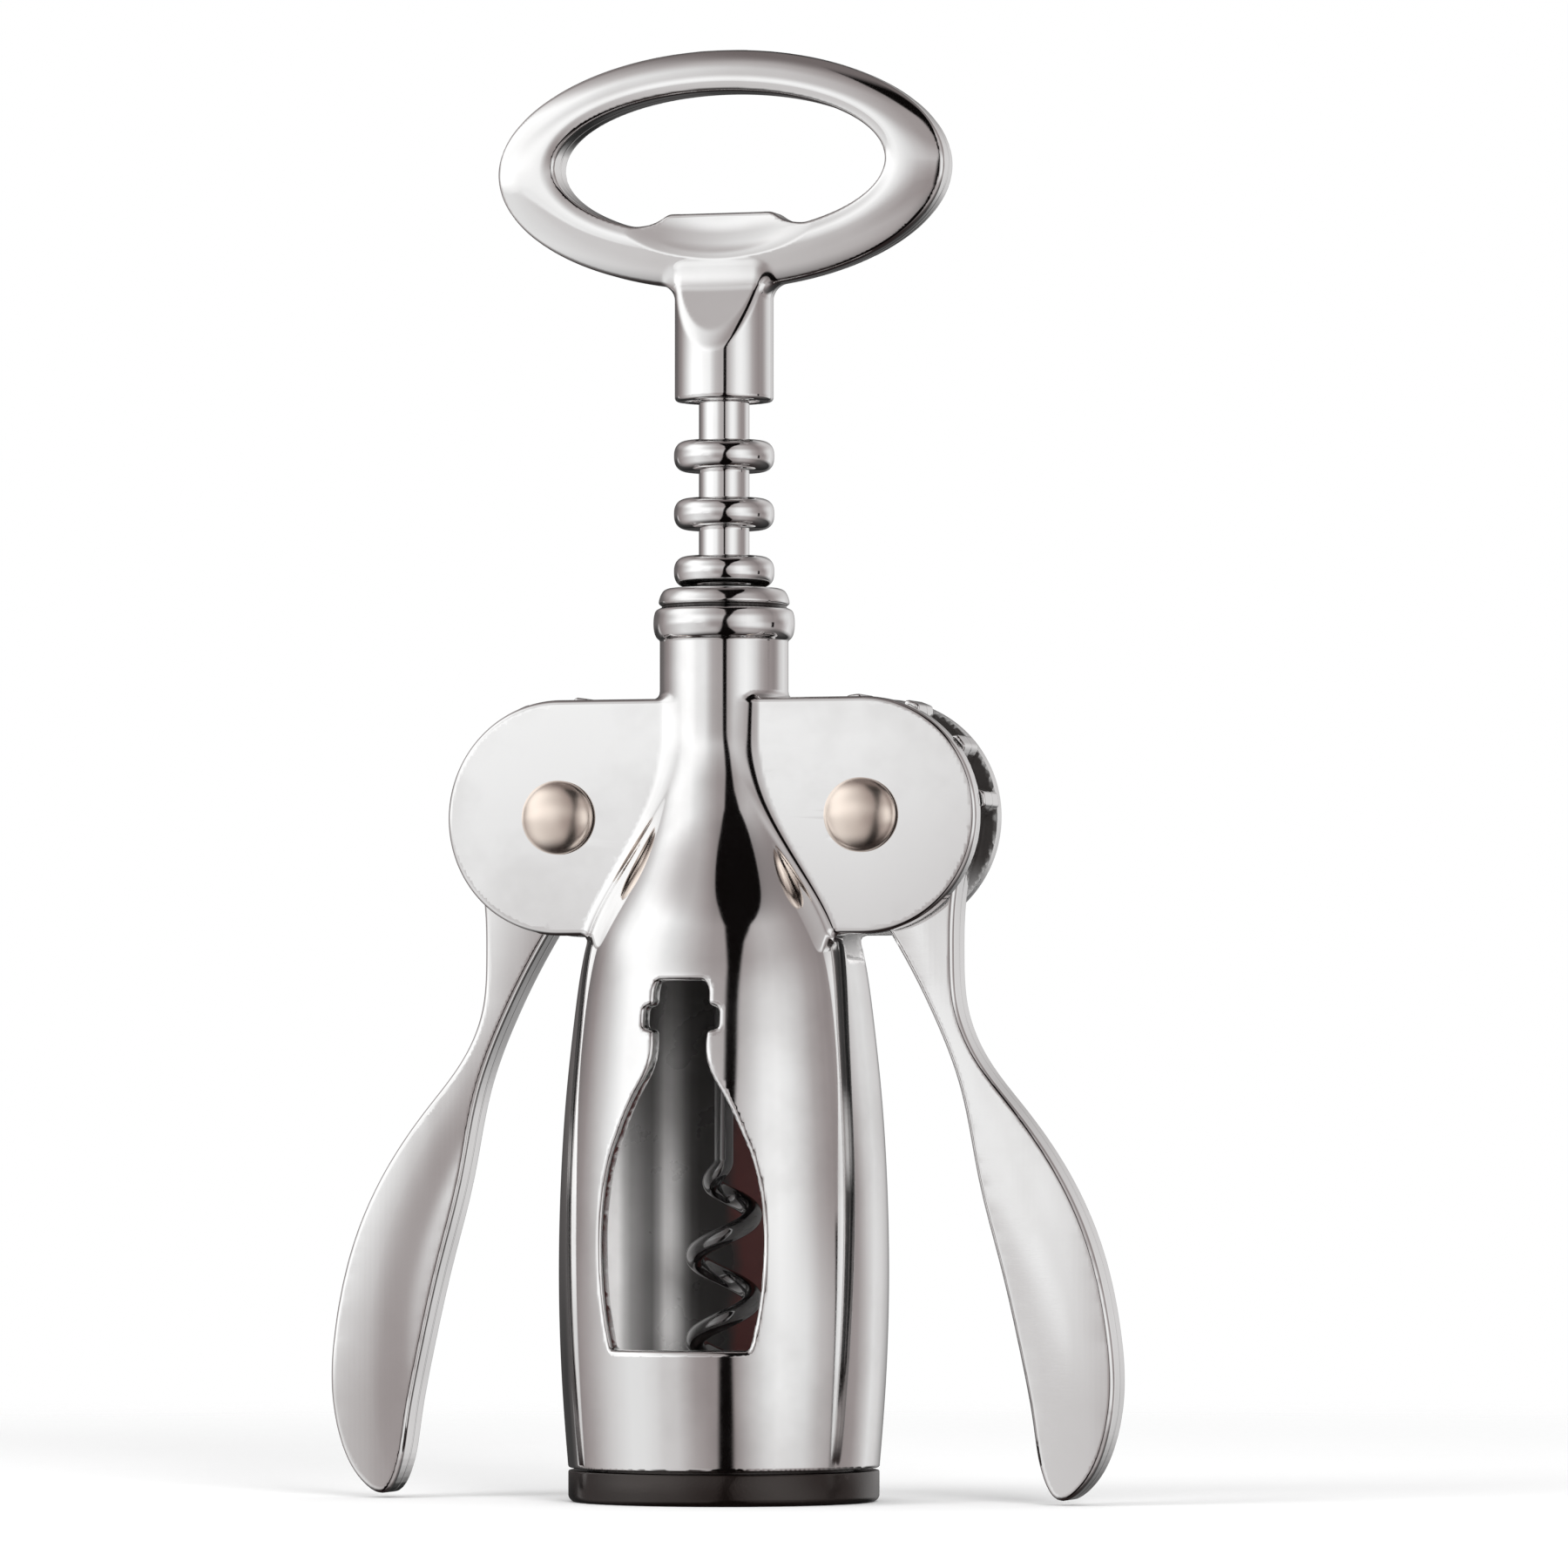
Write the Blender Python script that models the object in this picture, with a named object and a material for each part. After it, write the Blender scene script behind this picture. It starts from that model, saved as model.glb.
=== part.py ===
"""Wing corkscrew with a bottle-shaped bell, each piece modelled as the real one is made.

The rack's axis is Z and the tool stands on its bottle rest ring at Z = 0. The levers lie along X,
the window faces -Y, and the handle ring lies in the plane of the levers. Lengths are in metres.
The levers are down and the rack is at its highest.
"""

import math

import bmesh
import bpy

# Gaps and cuts
SEAT_GAP = 0.0003
RUNNING_GAP = 0.0003
OVERRUN = 0.002
MERGE = 0.0000001

# Rack: a shaft with round rings
RING_PITCH = 0.0072
RING_RADIUS = 0.00625
RING_THICKNESS = 0.0039
RING_ROUND = 0.0015
RINGS = 8
SHAFT_RADIUS = 0.00315
SHAFT_TAIL = 0.0134
SHAFT_HEAD = 0.0095
SHAFT_CHAMFER = 0.0004

# Gear end of each lever
TEETH_ROUND = 12
TEETH_CUT = 7
REST_TOOTH_DEG = 7.5
PITCH_LINE = 0.00585
TIP_GAP = 0.0013
ROOT_GAP = 0.00035
TOOTH_THICKNESS = 0.0032
TOOTH_TIP_SHARE = 0.53
TOOTH_ROOT_SHARE = 1.3
GEAR_THICKNESS = 0.0062

# Lever blades, with x away from the rack and z up, from the pivot
PIVOT_HEIGHT = 0.0848
LEVER_TIP_HEIGHT = 0.0004
LEVER_THICKNESS = 0.0064
LEVER_ROUND = 0.0014
BLADE_ROOT_SHARES = [(0.123, -0.985), (-0.3, -0.46), (0.5, 0.1), (0.953, -0.303)]
BLADE_SHARES = [
    (0.132, -0.114),
    (0.128, -0.205),
    (0.133, -0.278),
    (0.160, -0.348),
    (0.221, -0.428),
    (0.282, -0.513),
    (0.335, -0.625),
    (0.364, -0.750),
    (0.369, -0.850),
    (0.352, -0.930),
    (0.320, -0.982),
    (0.285, -1.000),
    (0.266, -0.975),
    (0.248, -0.893),
    (0.227, -0.782),
    (0.199, -0.662),
    (0.165, -0.532),
    (0.137, -0.397),
    (0.098, -0.296),
    (0.059, -0.219),
]

# Rivets
RIVET_RADIUS = 0.0026
RIVET_HEAD_RADIUS = 0.0046
RIVET_HEAD_HEIGHT = 0.0024
RIVET_TAIL_RADIUS = 0.0018
RIVET_TAIL = 0.0013

# Bell, its neck and its ears
FOOT_HEIGHT = 0.0042
BELL_RADIUS = 0.0205
BELL_WALL = 0.0028
SHOULDER_RISE = 0.0086
NECK_WALL = 0.00145
NECK_LENGTH = 0.0135
BEAD_HEIGHT = 0.0041
BEAD_SWELL = 0.0008
BEAD_GROOVE = 0.0008
LIP_HEIGHT = 0.0024
LIP_DRAW = 0.00045
BELL_SHARES = [
    (0.0, 0.904),
    (0.09, 0.955),
    (0.18, 0.988),
    (0.28, 1.0),
    (0.40, 0.980),
    (0.51, 0.932),
    (0.62, 0.850),
    (0.70, 0.770),
    (0.75, 0.680),
    (0.80, 0.515),
    (0.845, 0.340),
    (0.89, 0.185),
    (0.94, 0.065),
    (1.0, 0.0),
]
EAR_THICKNESS = 0.0028
EAR_GAP = 0.0070
EAR_ROUND = 0.0005
TEETH_SHOWING = 0.0005
SLOT_CLEARANCE = 0.00265

# Window in the bell, shaped like a bottle
WINDOW_SILL = 0.0191
WINDOW_HEIGHT = 0.0452
WINDOW_HALF_WIDTH = 0.0104
WINDOW_DEPTH = 0.0115
WINDOW_SHARES = [
    (0.846, 0.0),
    (0.945, 0.11),
    (0.995, 0.24),
    (0.995, 0.34),
    (0.955, 0.43),
    (0.865, 0.52),
    (0.71, 0.61),
    (0.53, 0.695),
    (0.38, 0.755),
    (0.325, 0.80),
    (0.325, 0.865),
]
WINDOW_CAP_SHARES = [(0.46, 0.872), (0.46, 0.925), (0.335, 0.935), (0.335, 0.975), (0.29, 1.0)]

# Bottle rest ring
REST_WALL = 0.0012
REST_FLARE = 0.0009
REST_SPIGOT = 0.0054
REST_ROUND = 0.0009

# Handle ring with its boss and its cap lifter
BOSS_GAP = 0.0068
BOSS_RADIUS = 0.00615
BOSS_LENGTH = 0.0141
BOSS_CHAMFER = 0.0004
BOSS_RECESS = 0.0015
BOSS_RECESS_GAP = 0.0012
TONGUE_LENGTH = 0.0067
HANDLE_WIDTH = 0.0582
HANDLE_HEIGHT = 0.0298
HANDLE_DEPTH = 0.0058
RIM_SIDE = 0.0076
RIM_TOP = 0.0053
RIM_FOOT = 0.0066
LIFTER_HEIGHT = 0.0028
LIFTER_TOP = 0.0136
LIFTER_FOOT = 0.0214
LIFTER_DEPTH = 0.0030

# Worm, washer and clip
WORM_WIRE = 0.0024
WORM_WIDTH = 0.0095
WORM_PITCH = 0.0104
WORM_TURNS = 3.3
WORM_TIP_HEIGHT = 0.0085
WORM_TIP_WIRE = 0.0005
WORM_FRONT_DEG = -73.0
WORM_FRONT_HEIGHT = 0.0329
WORM_SOCKET = 0.0120
WASHER_RADIUS = 0.0074
WASHER_THICKNESS = 0.0012
CLIP_RADIUS = 0.0050
CLIP_THICKNESS = 0.0008
CLIP_MOUTH = 0.0030
GROOVE_DEPTH = 0.0006

# Fineness
BELL_STEPS = 40
SHAFT_STEPS = 20
EAR_STEPS = 16
RIM_STEPS = 44
SECTION_STEPS = 12
ARC_STEPS = 2
CURVE_STEPS = 2
WORM_STEPS = 18
RIM_POWER = 2.5
WIRE_STEPS = 2
SHARP_DEG = 35
ROUNDED_DEG = 40

# Worked out from the sizes above
PITCH_RADIUS = TEETH_ROUND * RING_PITCH / math.tau
PIVOT_REACH = PITCH_LINE + PITCH_RADIUS
TIP_RADIUS = PIVOT_REACH - SHAFT_RADIUS - TIP_GAP
ROOT_RADIUS = PIVOT_REACH - RING_RADIUS - ROOT_GAP
LEVER_REACH = PIVOT_HEIGHT - LEVER_TIP_HEIGHT
PIVOT_BORE = RIVET_RADIUS + RUNNING_GAP
EAR_OUTER = EAR_GAP / 2 + EAR_THICKNESS
EAR_RADIUS = TIP_RADIUS - TEETH_SHOWING
BORE_RADIUS = RING_RADIUS + RUNNING_GAP
NECK_RADIUS = BORE_RADIUS + NECK_WALL
NECK_BASE = PIVOT_HEIGHT + SHOULDER_RISE
NECK_TOP = NECK_BASE + NECK_LENGTH
COLLAR_TOP = NECK_TOP + BEAD_HEIGHT + LIP_HEIGHT
REST_GAP_HEIGHT = PIVOT_HEIGHT - PITCH_RADIUS * math.radians(REST_TOOTH_DEG)
LOW_RING = REST_GAP_HEIGHT - RING_PITCH / 2
TOP_RING = LOW_RING + (RINGS - 1) * RING_PITCH
WASHER_TOP = LOW_RING - RING_THICKNESS / 2 - SEAT_GAP
CLIP_TOP = WASHER_TOP - WASHER_THICKNESS - SEAT_GAP
TAIL_END = LOW_RING - SHAFT_TAIL
BOSS_BASE = TOP_RING + BOSS_GAP
HANDLE_FOOT = BOSS_BASE + BOSS_LENGTH
HANDLE_MIDDLE = HANDLE_FOOT + HANDLE_HEIGHT / 2
HOLE_MIDDLE = HANDLE_FOOT + (HANDLE_HEIGHT + RIM_FOOT - RIM_TOP) / 2
HOLE_FOOT = HANDLE_FOOT + RIM_FOOT
HEAD_END = BOSS_BASE + SHAFT_HEAD

# Colours of the finishes
CHROME_GREY = (0.62, 0.60, 0.60)
STEEL_GREY = (0.45, 0.44, 0.43)
NICKEL = (0.60, 0.53, 0.45)
DARK_PLASTIC = (0.022, 0.016, 0.015)
COATING_BLACK = (0.012, 0.011, 0.011)


def clear_scene():
    for thing in list(bpy.data.objects):
        bpy.data.objects.remove(thing)


def finish(name, colour, metallic, roughness):
    """A plain Principled material."""
    material = bpy.data.materials.new(name)
    material.use_nodes = True
    shader = material.node_tree.nodes["Principled BSDF"]
    shader.inputs["Base Color"].default_value = (*colour, 1)
    shader.inputs["Metallic"].default_value = metallic
    shader.inputs["Roughness"].default_value = roughness
    return material


def placed(name, mesh, material=None):
    """A closed bmesh as an object, with its faces pointing out and its round faces smooth."""
    bmesh.ops.recalc_face_normals(mesh, faces=mesh.faces)
    data = bpy.data.meshes.new(name)
    mesh.to_mesh(data)
    mesh.free()
    data.shade_smooth()
    data.set_sharp_from_angle(angle=math.radians(SHARP_DEG))
    thing = bpy.data.objects.new(name, data)
    bpy.context.scene.collection.objects.link(thing)
    if material:
        data.materials.append(material)
    return thing


def helper(thing):
    """Keeps a cutter or an added shape out of the finished tool."""
    thing.hide_render = True
    thing.display_type = "WIRE"
    return thing


def combine(thing, operation, *others):
    """Cuts or adds shapes, which stay in the file as helpers."""
    for other in others:
        step = thing.modifiers.new(f"{operation.lower()} {other.name}", "BOOLEAN")
        step.operation = operation
        step.solver = "EXACT"
        step.object = helper(other)


def rounded(thing, width, segments):
    """Rounds the sharp edges of an extruded shape."""
    bevel = thing.modifiers.new("rounded edges", "BEVEL")
    bevel.width = width
    bevel.segments = segments
    bevel.limit_method = "ANGLE"
    bevel.angle_limit = math.radians(ROUNDED_DEG)
    bevel.use_clamp_overlap = False


def arc(centre, radii, start_deg, end_deg, steps):
    """Points round part of an ellipse, in the plane of the profile."""
    points = []
    for step in range(steps + 1):
        angle = math.radians(start_deg + (end_deg - start_deg) * step / steps)
        points.append((centre[0] + radii[0] * math.cos(angle), centre[1] + radii[1] * math.sin(angle)))
    return points


def smooth_line(points, steps):
    """A curve through the points, with the slope at each one taken from its neighbours."""
    ends = [points[0], *points, points[-1]]
    line = []
    for before, start, end, after in zip(ends, ends[1:], ends[2:], ends[3:]):
        for step in range(steps):
            t = step / steps
            line.append(
                tuple(
                    b + t / 2 * (c - a + t * (2 * a - 5 * b + 4 * c - d + t * (3 * b - a - 3 * c + d)))
                    for a, b, c, d in zip(before, start, end, after)
                )
            )
    return [*line, points[-1]]


def turned(name, profile, steps, closed=False, material=None):
    """A profile of (radius, height) points spun round Z, open at the axis or closed on itself."""
    mesh = bmesh.new()
    points = [mesh.verts.new((radius, 0, height)) for radius, height in profile]
    edges = [mesh.edges.new(pair) for pair in zip(points, points[1:])]
    if closed:
        edges.append(mesh.edges.new((points[-1], points[0])))
    bmesh.ops.spin(
        mesh, geom=points + edges, cent=(0, 0, 0), axis=(0, 0, 1), angle=math.tau, steps=steps, use_merge=True
    )
    bmesh.ops.remove_doubles(mesh, verts=mesh.verts, dist=MERGE)
    return placed(name, mesh, material)


def extruded(name, outline, front, back, material=None):
    """An outline of (x, z) points made solid from y = front to y = back."""
    mesh = bmesh.new()
    face = mesh.faces.new([mesh.verts.new((x, front, z)) for x, z in outline])
    pushed = bmesh.ops.extrude_face_region(mesh, geom=[face])["geom"]
    moved = [item for item in pushed if isinstance(item, bmesh.types.BMVert)]
    bmesh.ops.translate(mesh, verts=moved, vec=(0, back - front, 0))
    return placed(name, mesh, material)


def bell_radius(share):
    """Radius of the bell for a share of the bulge between the neck and the widest place."""
    return NECK_RADIUS + (BELL_RADIUS - NECK_RADIUS) * share


def bell_line():
    """The bell's outside from its foot to the bottom of its neck, as (radius, height)."""
    rise = NECK_BASE - FOOT_HEIGHT
    points = [(bell_radius(bulge), FOOT_HEIGHT + rise * height) for height, bulge in BELL_SHARES]
    return smooth_line(points, CURVE_STEPS)


def collar_line():
    """The neck, its bead and its lip, shaped like the mouth of a wine bottle."""
    bead = arc(
        (NECK_RADIUS, NECK_TOP + BEAD_HEIGHT / 2), (BEAD_SWELL, BEAD_HEIGHT / 2), -90, 90, 2 * ARC_STEPS
    )
    groove = (NECK_RADIUS - BEAD_GROOVE, NECK_TOP + BEAD_HEIGHT)
    lip_middle = (NECK_RADIUS - BEAD_GROOVE, NECK_TOP + BEAD_HEIGHT + LIP_HEIGHT / 2)
    lip = arc(lip_middle, (BEAD_GROOVE - LIP_DRAW, LIP_HEIGHT / 2), -90, 90, 2 * ARC_STEPS)
    return [*bead, groove, *lip[1:]]


def make_body(material):
    outside = [(0, FOOT_HEIGHT), *bell_line(), *collar_line(), (0, COLLAR_TOP)]
    body = turned("body_casting", outside, BELL_STEPS, material=material)

    ears = arc((PIVOT_REACH, PIVOT_HEIGHT), (EAR_RADIUS, EAR_RADIUS), -90, 90, EAR_STEPS)
    ears += arc((-PIVOT_REACH, PIVOT_HEIGHT), (EAR_RADIUS, EAR_RADIUS), 90, 270, EAR_STEPS)
    slab = extruded("ears", ears, -EAR_OUTER, EAR_OUTER)
    rounded(slab, EAR_ROUND, 2)
    combine(body, "UNION", slab)

    below = FOOT_HEIGHT - OVERRUN
    wall = [(radius - BELL_WALL, height) for radius, height in bell_line()]
    inside = [(0, below), (wall[0][0], below)]
    inside += [(radius, height) for radius, height in wall if radius > BORE_RADIUS]
    inside += [(BORE_RADIUS, NECK_BASE), (BORE_RADIUS, COLLAR_TOP + OVERRUN), (0, COLLAR_TOP + OVERRUN)]
    combine(body, "DIFFERENCE", turned("bell hollow", inside, BELL_STEPS))

    for side in (-1, 1):
        slot_radius = TIP_RADIUS + SLOT_CLEARANCE
        circle = arc((side * PIVOT_REACH, PIVOT_HEIGHT), (slot_radius, slot_radius), 0, 360, 2 * EAR_STEPS)
        combine(body, "DIFFERENCE", extruded(f"lever slot {side}", circle[1:], -EAR_GAP / 2, EAR_GAP / 2))
        hole = arc((side * PIVOT_REACH, PIVOT_HEIGHT), (PIVOT_BORE, PIVOT_BORE), 0, 360, EAR_STEPS)
        depth = EAR_OUTER + OVERRUN
        combine(body, "DIFFERENCE", extruded(f"rivet hole {side}", hole[1:], -depth, depth))

    half = [(WINDOW_HALF_WIDTH * x, WINDOW_SILL + WINDOW_HEIGHT * z) for x, z in WINDOW_SHARES]
    cap = [(WINDOW_HALF_WIDTH * x, WINDOW_SILL + WINDOW_HEIGHT * z) for x, z in WINDOW_CAP_SHARES]
    half = smooth_line(half, 2) + cap
    window = half + [(-x, z) for x, z in reversed(half)]
    near = -BELL_RADIUS - OVERRUN
    combine(body, "DIFFERENCE", extruded("window", window, near, near + WINDOW_DEPTH + OVERRUN))


def make_rest_ring(material):
    outer = bell_radius(BELL_SHARES[0][1])
    spigot = outer - BELL_WALL - SEAT_GAP
    bore = spigot - REST_WALL
    flange = FOOT_HEIGHT - SEAT_GAP
    profile = [(bore + REST_FLARE, 0), (outer - REST_ROUND, 0)]
    profile += arc((outer - REST_ROUND, REST_ROUND), (REST_ROUND, REST_ROUND), -90, 0, ARC_STEPS)[1:]
    profile += [(outer, flange), (spigot, flange), (spigot, flange + REST_SPIGOT)]
    profile += [(bore, flange + REST_SPIGOT), (bore, REST_FLARE)]
    turned("bottle_rest_ring", profile, BELL_STEPS, closed=True, material=material)


def on_pivot(thing, side, facing):
    """Stands a turned piece on a pivot's axis, with its local Z to the front (1) or the rear (-1)."""
    thing.location = (side * PIVOT_REACH, 0, PIVOT_HEIGHT)
    thing.rotation_euler = (facing * math.pi / 2, 0, 0)


def make_rivet(side, name, material):
    seat = EAR_OUTER + SEAT_GAP
    dome = arc((0, seat), (RIVET_HEAD_RADIUS, RIVET_HEAD_HEIGHT), 90, 0, 2 * ARC_STEPS)
    shank = [(RIVET_RADIUS, seat), (RIVET_RADIUS, -EAR_OUTER)]
    tail = [(RIVET_TAIL_RADIUS, -EAR_OUTER), (RIVET_TAIL_RADIUS, -seat - RIVET_TAIL), (0, -seat - RIVET_TAIL)]
    rivet = turned(f"{name}_pivot_rivet", dome + shank + tail, SHAFT_STEPS, material=material)
    on_pivot(rivet, side, 1)

    socket = RIVET_TAIL_RADIUS + SEAT_GAP
    pocket = [(socket, seat), (socket, seat + RIVET_TAIL + SEAT_GAP), (0, seat + RIVET_TAIL + SEAT_GAP)]
    cap = turned(f"{name}_rivet_cap", dome + pocket, SHAFT_STEPS, material=material)
    on_pivot(cap, side, -1)


def polar(radius, degrees):
    angle = math.radians(degrees)
    return (radius * math.cos(angle), radius * math.sin(angle))


def gear_outline():
    """The right lever's teeth and hub about its pivot, counterclockwise from the front."""
    flank = [(ROOT_RADIUS, TOOTH_ROOT_SHARE), (PITCH_RADIUS, 1), (TIP_RADIUS, TOOTH_TIP_SHARE)]
    half = [(radius, math.degrees(TOOTH_THICKNESS * share / 2 / radius)) for radius, share in flank]
    step = 360 / TEETH_ROUND
    low = 180 + REST_TOOTH_DEG - (TEETH_CUT - 1) * step
    outline = []
    for tooth in range(TEETH_CUT):
        middle = low + tooth * step
        outline += [polar(radius, middle - width) for radius, width in half]
        outline += [polar(radius, middle + width) for radius, width in reversed(half)]
        outline.append(polar(ROOT_RADIUS, middle + step / 2))
    plain = 360 - TEETH_CUT * step
    parts = math.ceil(plain / (step / 2))
    start = low + (TEETH_CUT - 0.5) * step
    outline += [polar(ROOT_RADIUS, start + plain * part / parts) for part in range(1, parts + 1)]
    return outline


def blade_outline():
    """The right lever's blade about its pivot, from its root round the tip and back."""
    inner_root, inner_end, outer_end, outer_root = [
        (ROOT_RADIUS * x, ROOT_RADIUS * z) for x, z in BLADE_ROOT_SHARES
    ]
    blade = [(LEVER_REACH * x, LEVER_REACH * z) for x, z in BLADE_SHARES]
    return [outer_end, *smooth_line([outer_root, *blade, inner_root], CURVE_STEPS), inner_end]


def make_lever(side, name, material):
    def sided(outline):
        return [(side * x, z) for x, z in outline]

    gear = GEAR_THICKNESS / 2
    thick = LEVER_THICKNESS / 2
    lever = extruded(f"{name}_lever", sided(gear_outline()), -gear, gear, material)
    blade = extruded(f"{name} blade", sided(blade_outline()), -thick, thick)
    rounded(blade, LEVER_ROUND, 3)
    combine(lever, "UNION", blade)
    hole = arc((0, 0), (PIVOT_BORE, PIVOT_BORE), 0, 360, EAR_STEPS)
    combine(lever, "DIFFERENCE", extruded(f"{name} bore", hole[1:], -LEVER_THICKNESS, LEVER_THICKNESS))
    for thing in (lever, blade, bpy.data.objects[f"{name} bore"]):
        thing.location = (side * PIVOT_REACH, 0, PIVOT_HEIGHT)


def ring_profile(middle):
    """One rack ring from its lower face to its upper face."""
    edge = RING_RADIUS - RING_ROUND
    reach = RING_THICKNESS / 2 - RING_ROUND
    profile = [(SHAFT_RADIUS, middle - RING_THICKNESS / 2)]
    profile += arc((edge, middle - reach), (RING_ROUND, RING_ROUND), -90, 0, ARC_STEPS)
    profile += arc((edge, middle + reach), (RING_ROUND, RING_ROUND), 0, 90, ARC_STEPS)
    profile.append((SHAFT_RADIUS, middle + RING_THICKNESS / 2))
    return profile


def make_spindle(material):
    socket = WORM_WIRE / 2 + SEAT_GAP
    groove = SHAFT_RADIUS - GROOVE_DEPTH
    groove_top = CLIP_TOP + SEAT_GAP
    groove_foot = CLIP_TOP - CLIP_THICKNESS - SEAT_GAP
    profile = [(0, TAIL_END + WORM_SOCKET), (socket, TAIL_END + WORM_SOCKET), (socket, TAIL_END)]
    profile += [(SHAFT_RADIUS - SHAFT_CHAMFER, TAIL_END), (SHAFT_RADIUS, TAIL_END + SHAFT_CHAMFER)]
    profile += [(SHAFT_RADIUS, groove_foot), (groove, groove_foot)]
    profile += [(groove, groove_top), (SHAFT_RADIUS, groove_top)]
    for ring in range(RINGS):
        profile += ring_profile(LOW_RING + ring * RING_PITCH)
    profile += [(SHAFT_RADIUS, HEAD_END - SHAFT_CHAMFER), (SHAFT_RADIUS - SHAFT_CHAMFER, HEAD_END)]
    profile.append((0, HEAD_END))
    turned("rack_spindle", profile, SHAFT_STEPS, material=material)


def make_washer_and_clip(material):
    low = WASHER_TOP - WASHER_THICKNESS
    bore = SHAFT_RADIUS + RUNNING_GAP
    washer = [(bore, low), (WASHER_RADIUS, low), (WASHER_RADIUS, WASHER_TOP), (bore, WASHER_TOP)]
    turned("stop_washer", washer, SHAFT_STEPS, closed=True, material=material)

    foot = CLIP_TOP - CLIP_THICKNESS
    grip = SHAFT_RADIUS - GROOVE_DEPTH + SEAT_GAP
    profile = [(grip, foot), (CLIP_RADIUS, foot), (CLIP_RADIUS, CLIP_TOP), (grip, CLIP_TOP)]
    clip = turned("retaining_clip", profile, SHAFT_STEPS, closed=True, material=material)
    mouth = [(0, foot - OVERRUN), (CLIP_RADIUS + OVERRUN, foot - OVERRUN)]
    mouth += [(CLIP_RADIUS + OVERRUN, CLIP_TOP + OVERRUN), (0, CLIP_TOP + OVERRUN)]
    combine(clip, "DIFFERENCE", extruded("clip mouth", mouth, -CLIP_MOUTH / 2, CLIP_MOUTH / 2))


def make_handle_rim(material):
    """The oval rim, swept round with a section that is wide at the sides and narrow on top."""
    mesh = bmesh.new()
    loops = []
    for step in range(RIM_STEPS):
        turn = math.tau * step / RIM_STEPS
        outer = (HANDLE_WIDTH / 2 * math.cos(turn), HANDLE_MIDDLE + HANDLE_HEIGHT / 2 * math.sin(turn))
        inner = (
            (HANDLE_WIDTH / 2 - RIM_SIDE) * math.cos(turn),
            HOLE_MIDDLE + (HANDLE_HEIGHT - RIM_TOP - RIM_FOOT) / 2 * math.sin(turn),
        )
        loop = []
        for part in range(SECTION_STEPS):
            angle = math.tau * (part + 0.5) / SECTION_STEPS
            across = math.copysign(abs(math.cos(angle)) ** (2 / RIM_POWER), math.cos(angle))
            through = math.copysign(abs(math.sin(angle)) ** (2 / RIM_POWER), math.sin(angle))
            x, z = [(far + near) / 2 + across * (far - near) / 2 for far, near in zip(outer, inner)]
            loop.append(mesh.verts.new((x, through * HANDLE_DEPTH / 2, z)))
        loops.append(loop)
    for here, there in zip(loops, [*loops[1:], loops[0]]):
        for part in range(SECTION_STEPS):
            along = (part + 1) % SECTION_STEPS
            mesh.faces.new((here[part], here[along], there[along], there[part]))
    return placed("opener_handle", mesh, material)


def make_handle(material):
    handle = make_handle_rim(material)

    top = HANDLE_FOOT + RIM_FOOT / 2
    boss = [(0, BOSS_BASE), (BOSS_RADIUS - BOSS_CHAMFER, BOSS_BASE), (BOSS_RADIUS, BOSS_BASE + BOSS_CHAMFER)]
    boss = turned("boss", [*boss, (BOSS_RADIUS, top), (0, top)], 2 * SHAFT_STEPS)
    slope = TONGUE_LENGTH / (BOSS_RADIUS - HANDLE_DEPTH / 2)
    apex = HANDLE_FOOT - TONGUE_LENGTH - OVERRUN * slope
    wide = BOSS_RADIUS + OVERRUN
    side_view = [(-wide, BOSS_BASE - OVERRUN), (wide, BOSS_BASE - OVERRUN), (wide, apex)]
    side_view += [(HANDLE_DEPTH / 2, HANDLE_FOOT), (HANDLE_DEPTH / 2, top + OVERRUN)]
    side_view += [(-HANDLE_DEPTH / 2, top + OVERRUN), (-HANDLE_DEPTH / 2, HANDLE_FOOT), (-wide, apex)]
    tongue = extruded("tongue", side_view, -wide, wide)
    tongue.rotation_euler = (0, 0, math.pi / 2)
    combine(boss, "INTERSECT", tongue)
    combine(handle, "UNION", boss)

    mesh = bmesh.new()
    lifter_top = HOLE_FOOT + LIFTER_HEIGHT
    foot = HANDLE_FOOT + RIM_FOOT / 2
    corners = [(-LIFTER_FOOT / 2, foot), (LIFTER_FOOT / 2, foot), (LIFTER_FOOT / 2, HOLE_FOOT)]
    corners += [(LIFTER_TOP / 2, lifter_top), (-LIFTER_TOP / 2, lifter_top), (-LIFTER_FOOT / 2, HOLE_FOOT)]
    sides = []
    for facing in (-1, 1):
        side = []
        for x, z in corners:
            rise = (z - foot) / (lifter_top - foot)
            depth = HANDLE_DEPTH / 2 + (LIFTER_DEPTH - HANDLE_DEPTH) / 2 * rise
            side.append(mesh.verts.new((x, facing * depth, z)))
        mesh.faces.new(side)
        sides.append(side)
    for part in range(len(corners)):
        along = (part + 1) % len(corners)
        mesh.faces.new((sides[0][part], sides[0][along], sides[1][along], sides[1][part]))
    combine(handle, "UNION", placed("cap lifter", mesh))

    bore = SHAFT_RADIUS + SEAT_GAP
    recess = bore + BOSS_RECESS_GAP
    hole = [(0, BOSS_BASE - OVERRUN), (recess, BOSS_BASE - OVERRUN), (recess, BOSS_BASE + BOSS_RECESS)]
    hole += [(bore, BOSS_BASE + BOSS_RECESS), (bore, HEAD_END + SEAT_GAP), (0, HEAD_END + SEAT_GAP)]
    combine(handle, "DIFFERENCE", turned("shaft socket", hole, SHAFT_STEPS))


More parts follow.
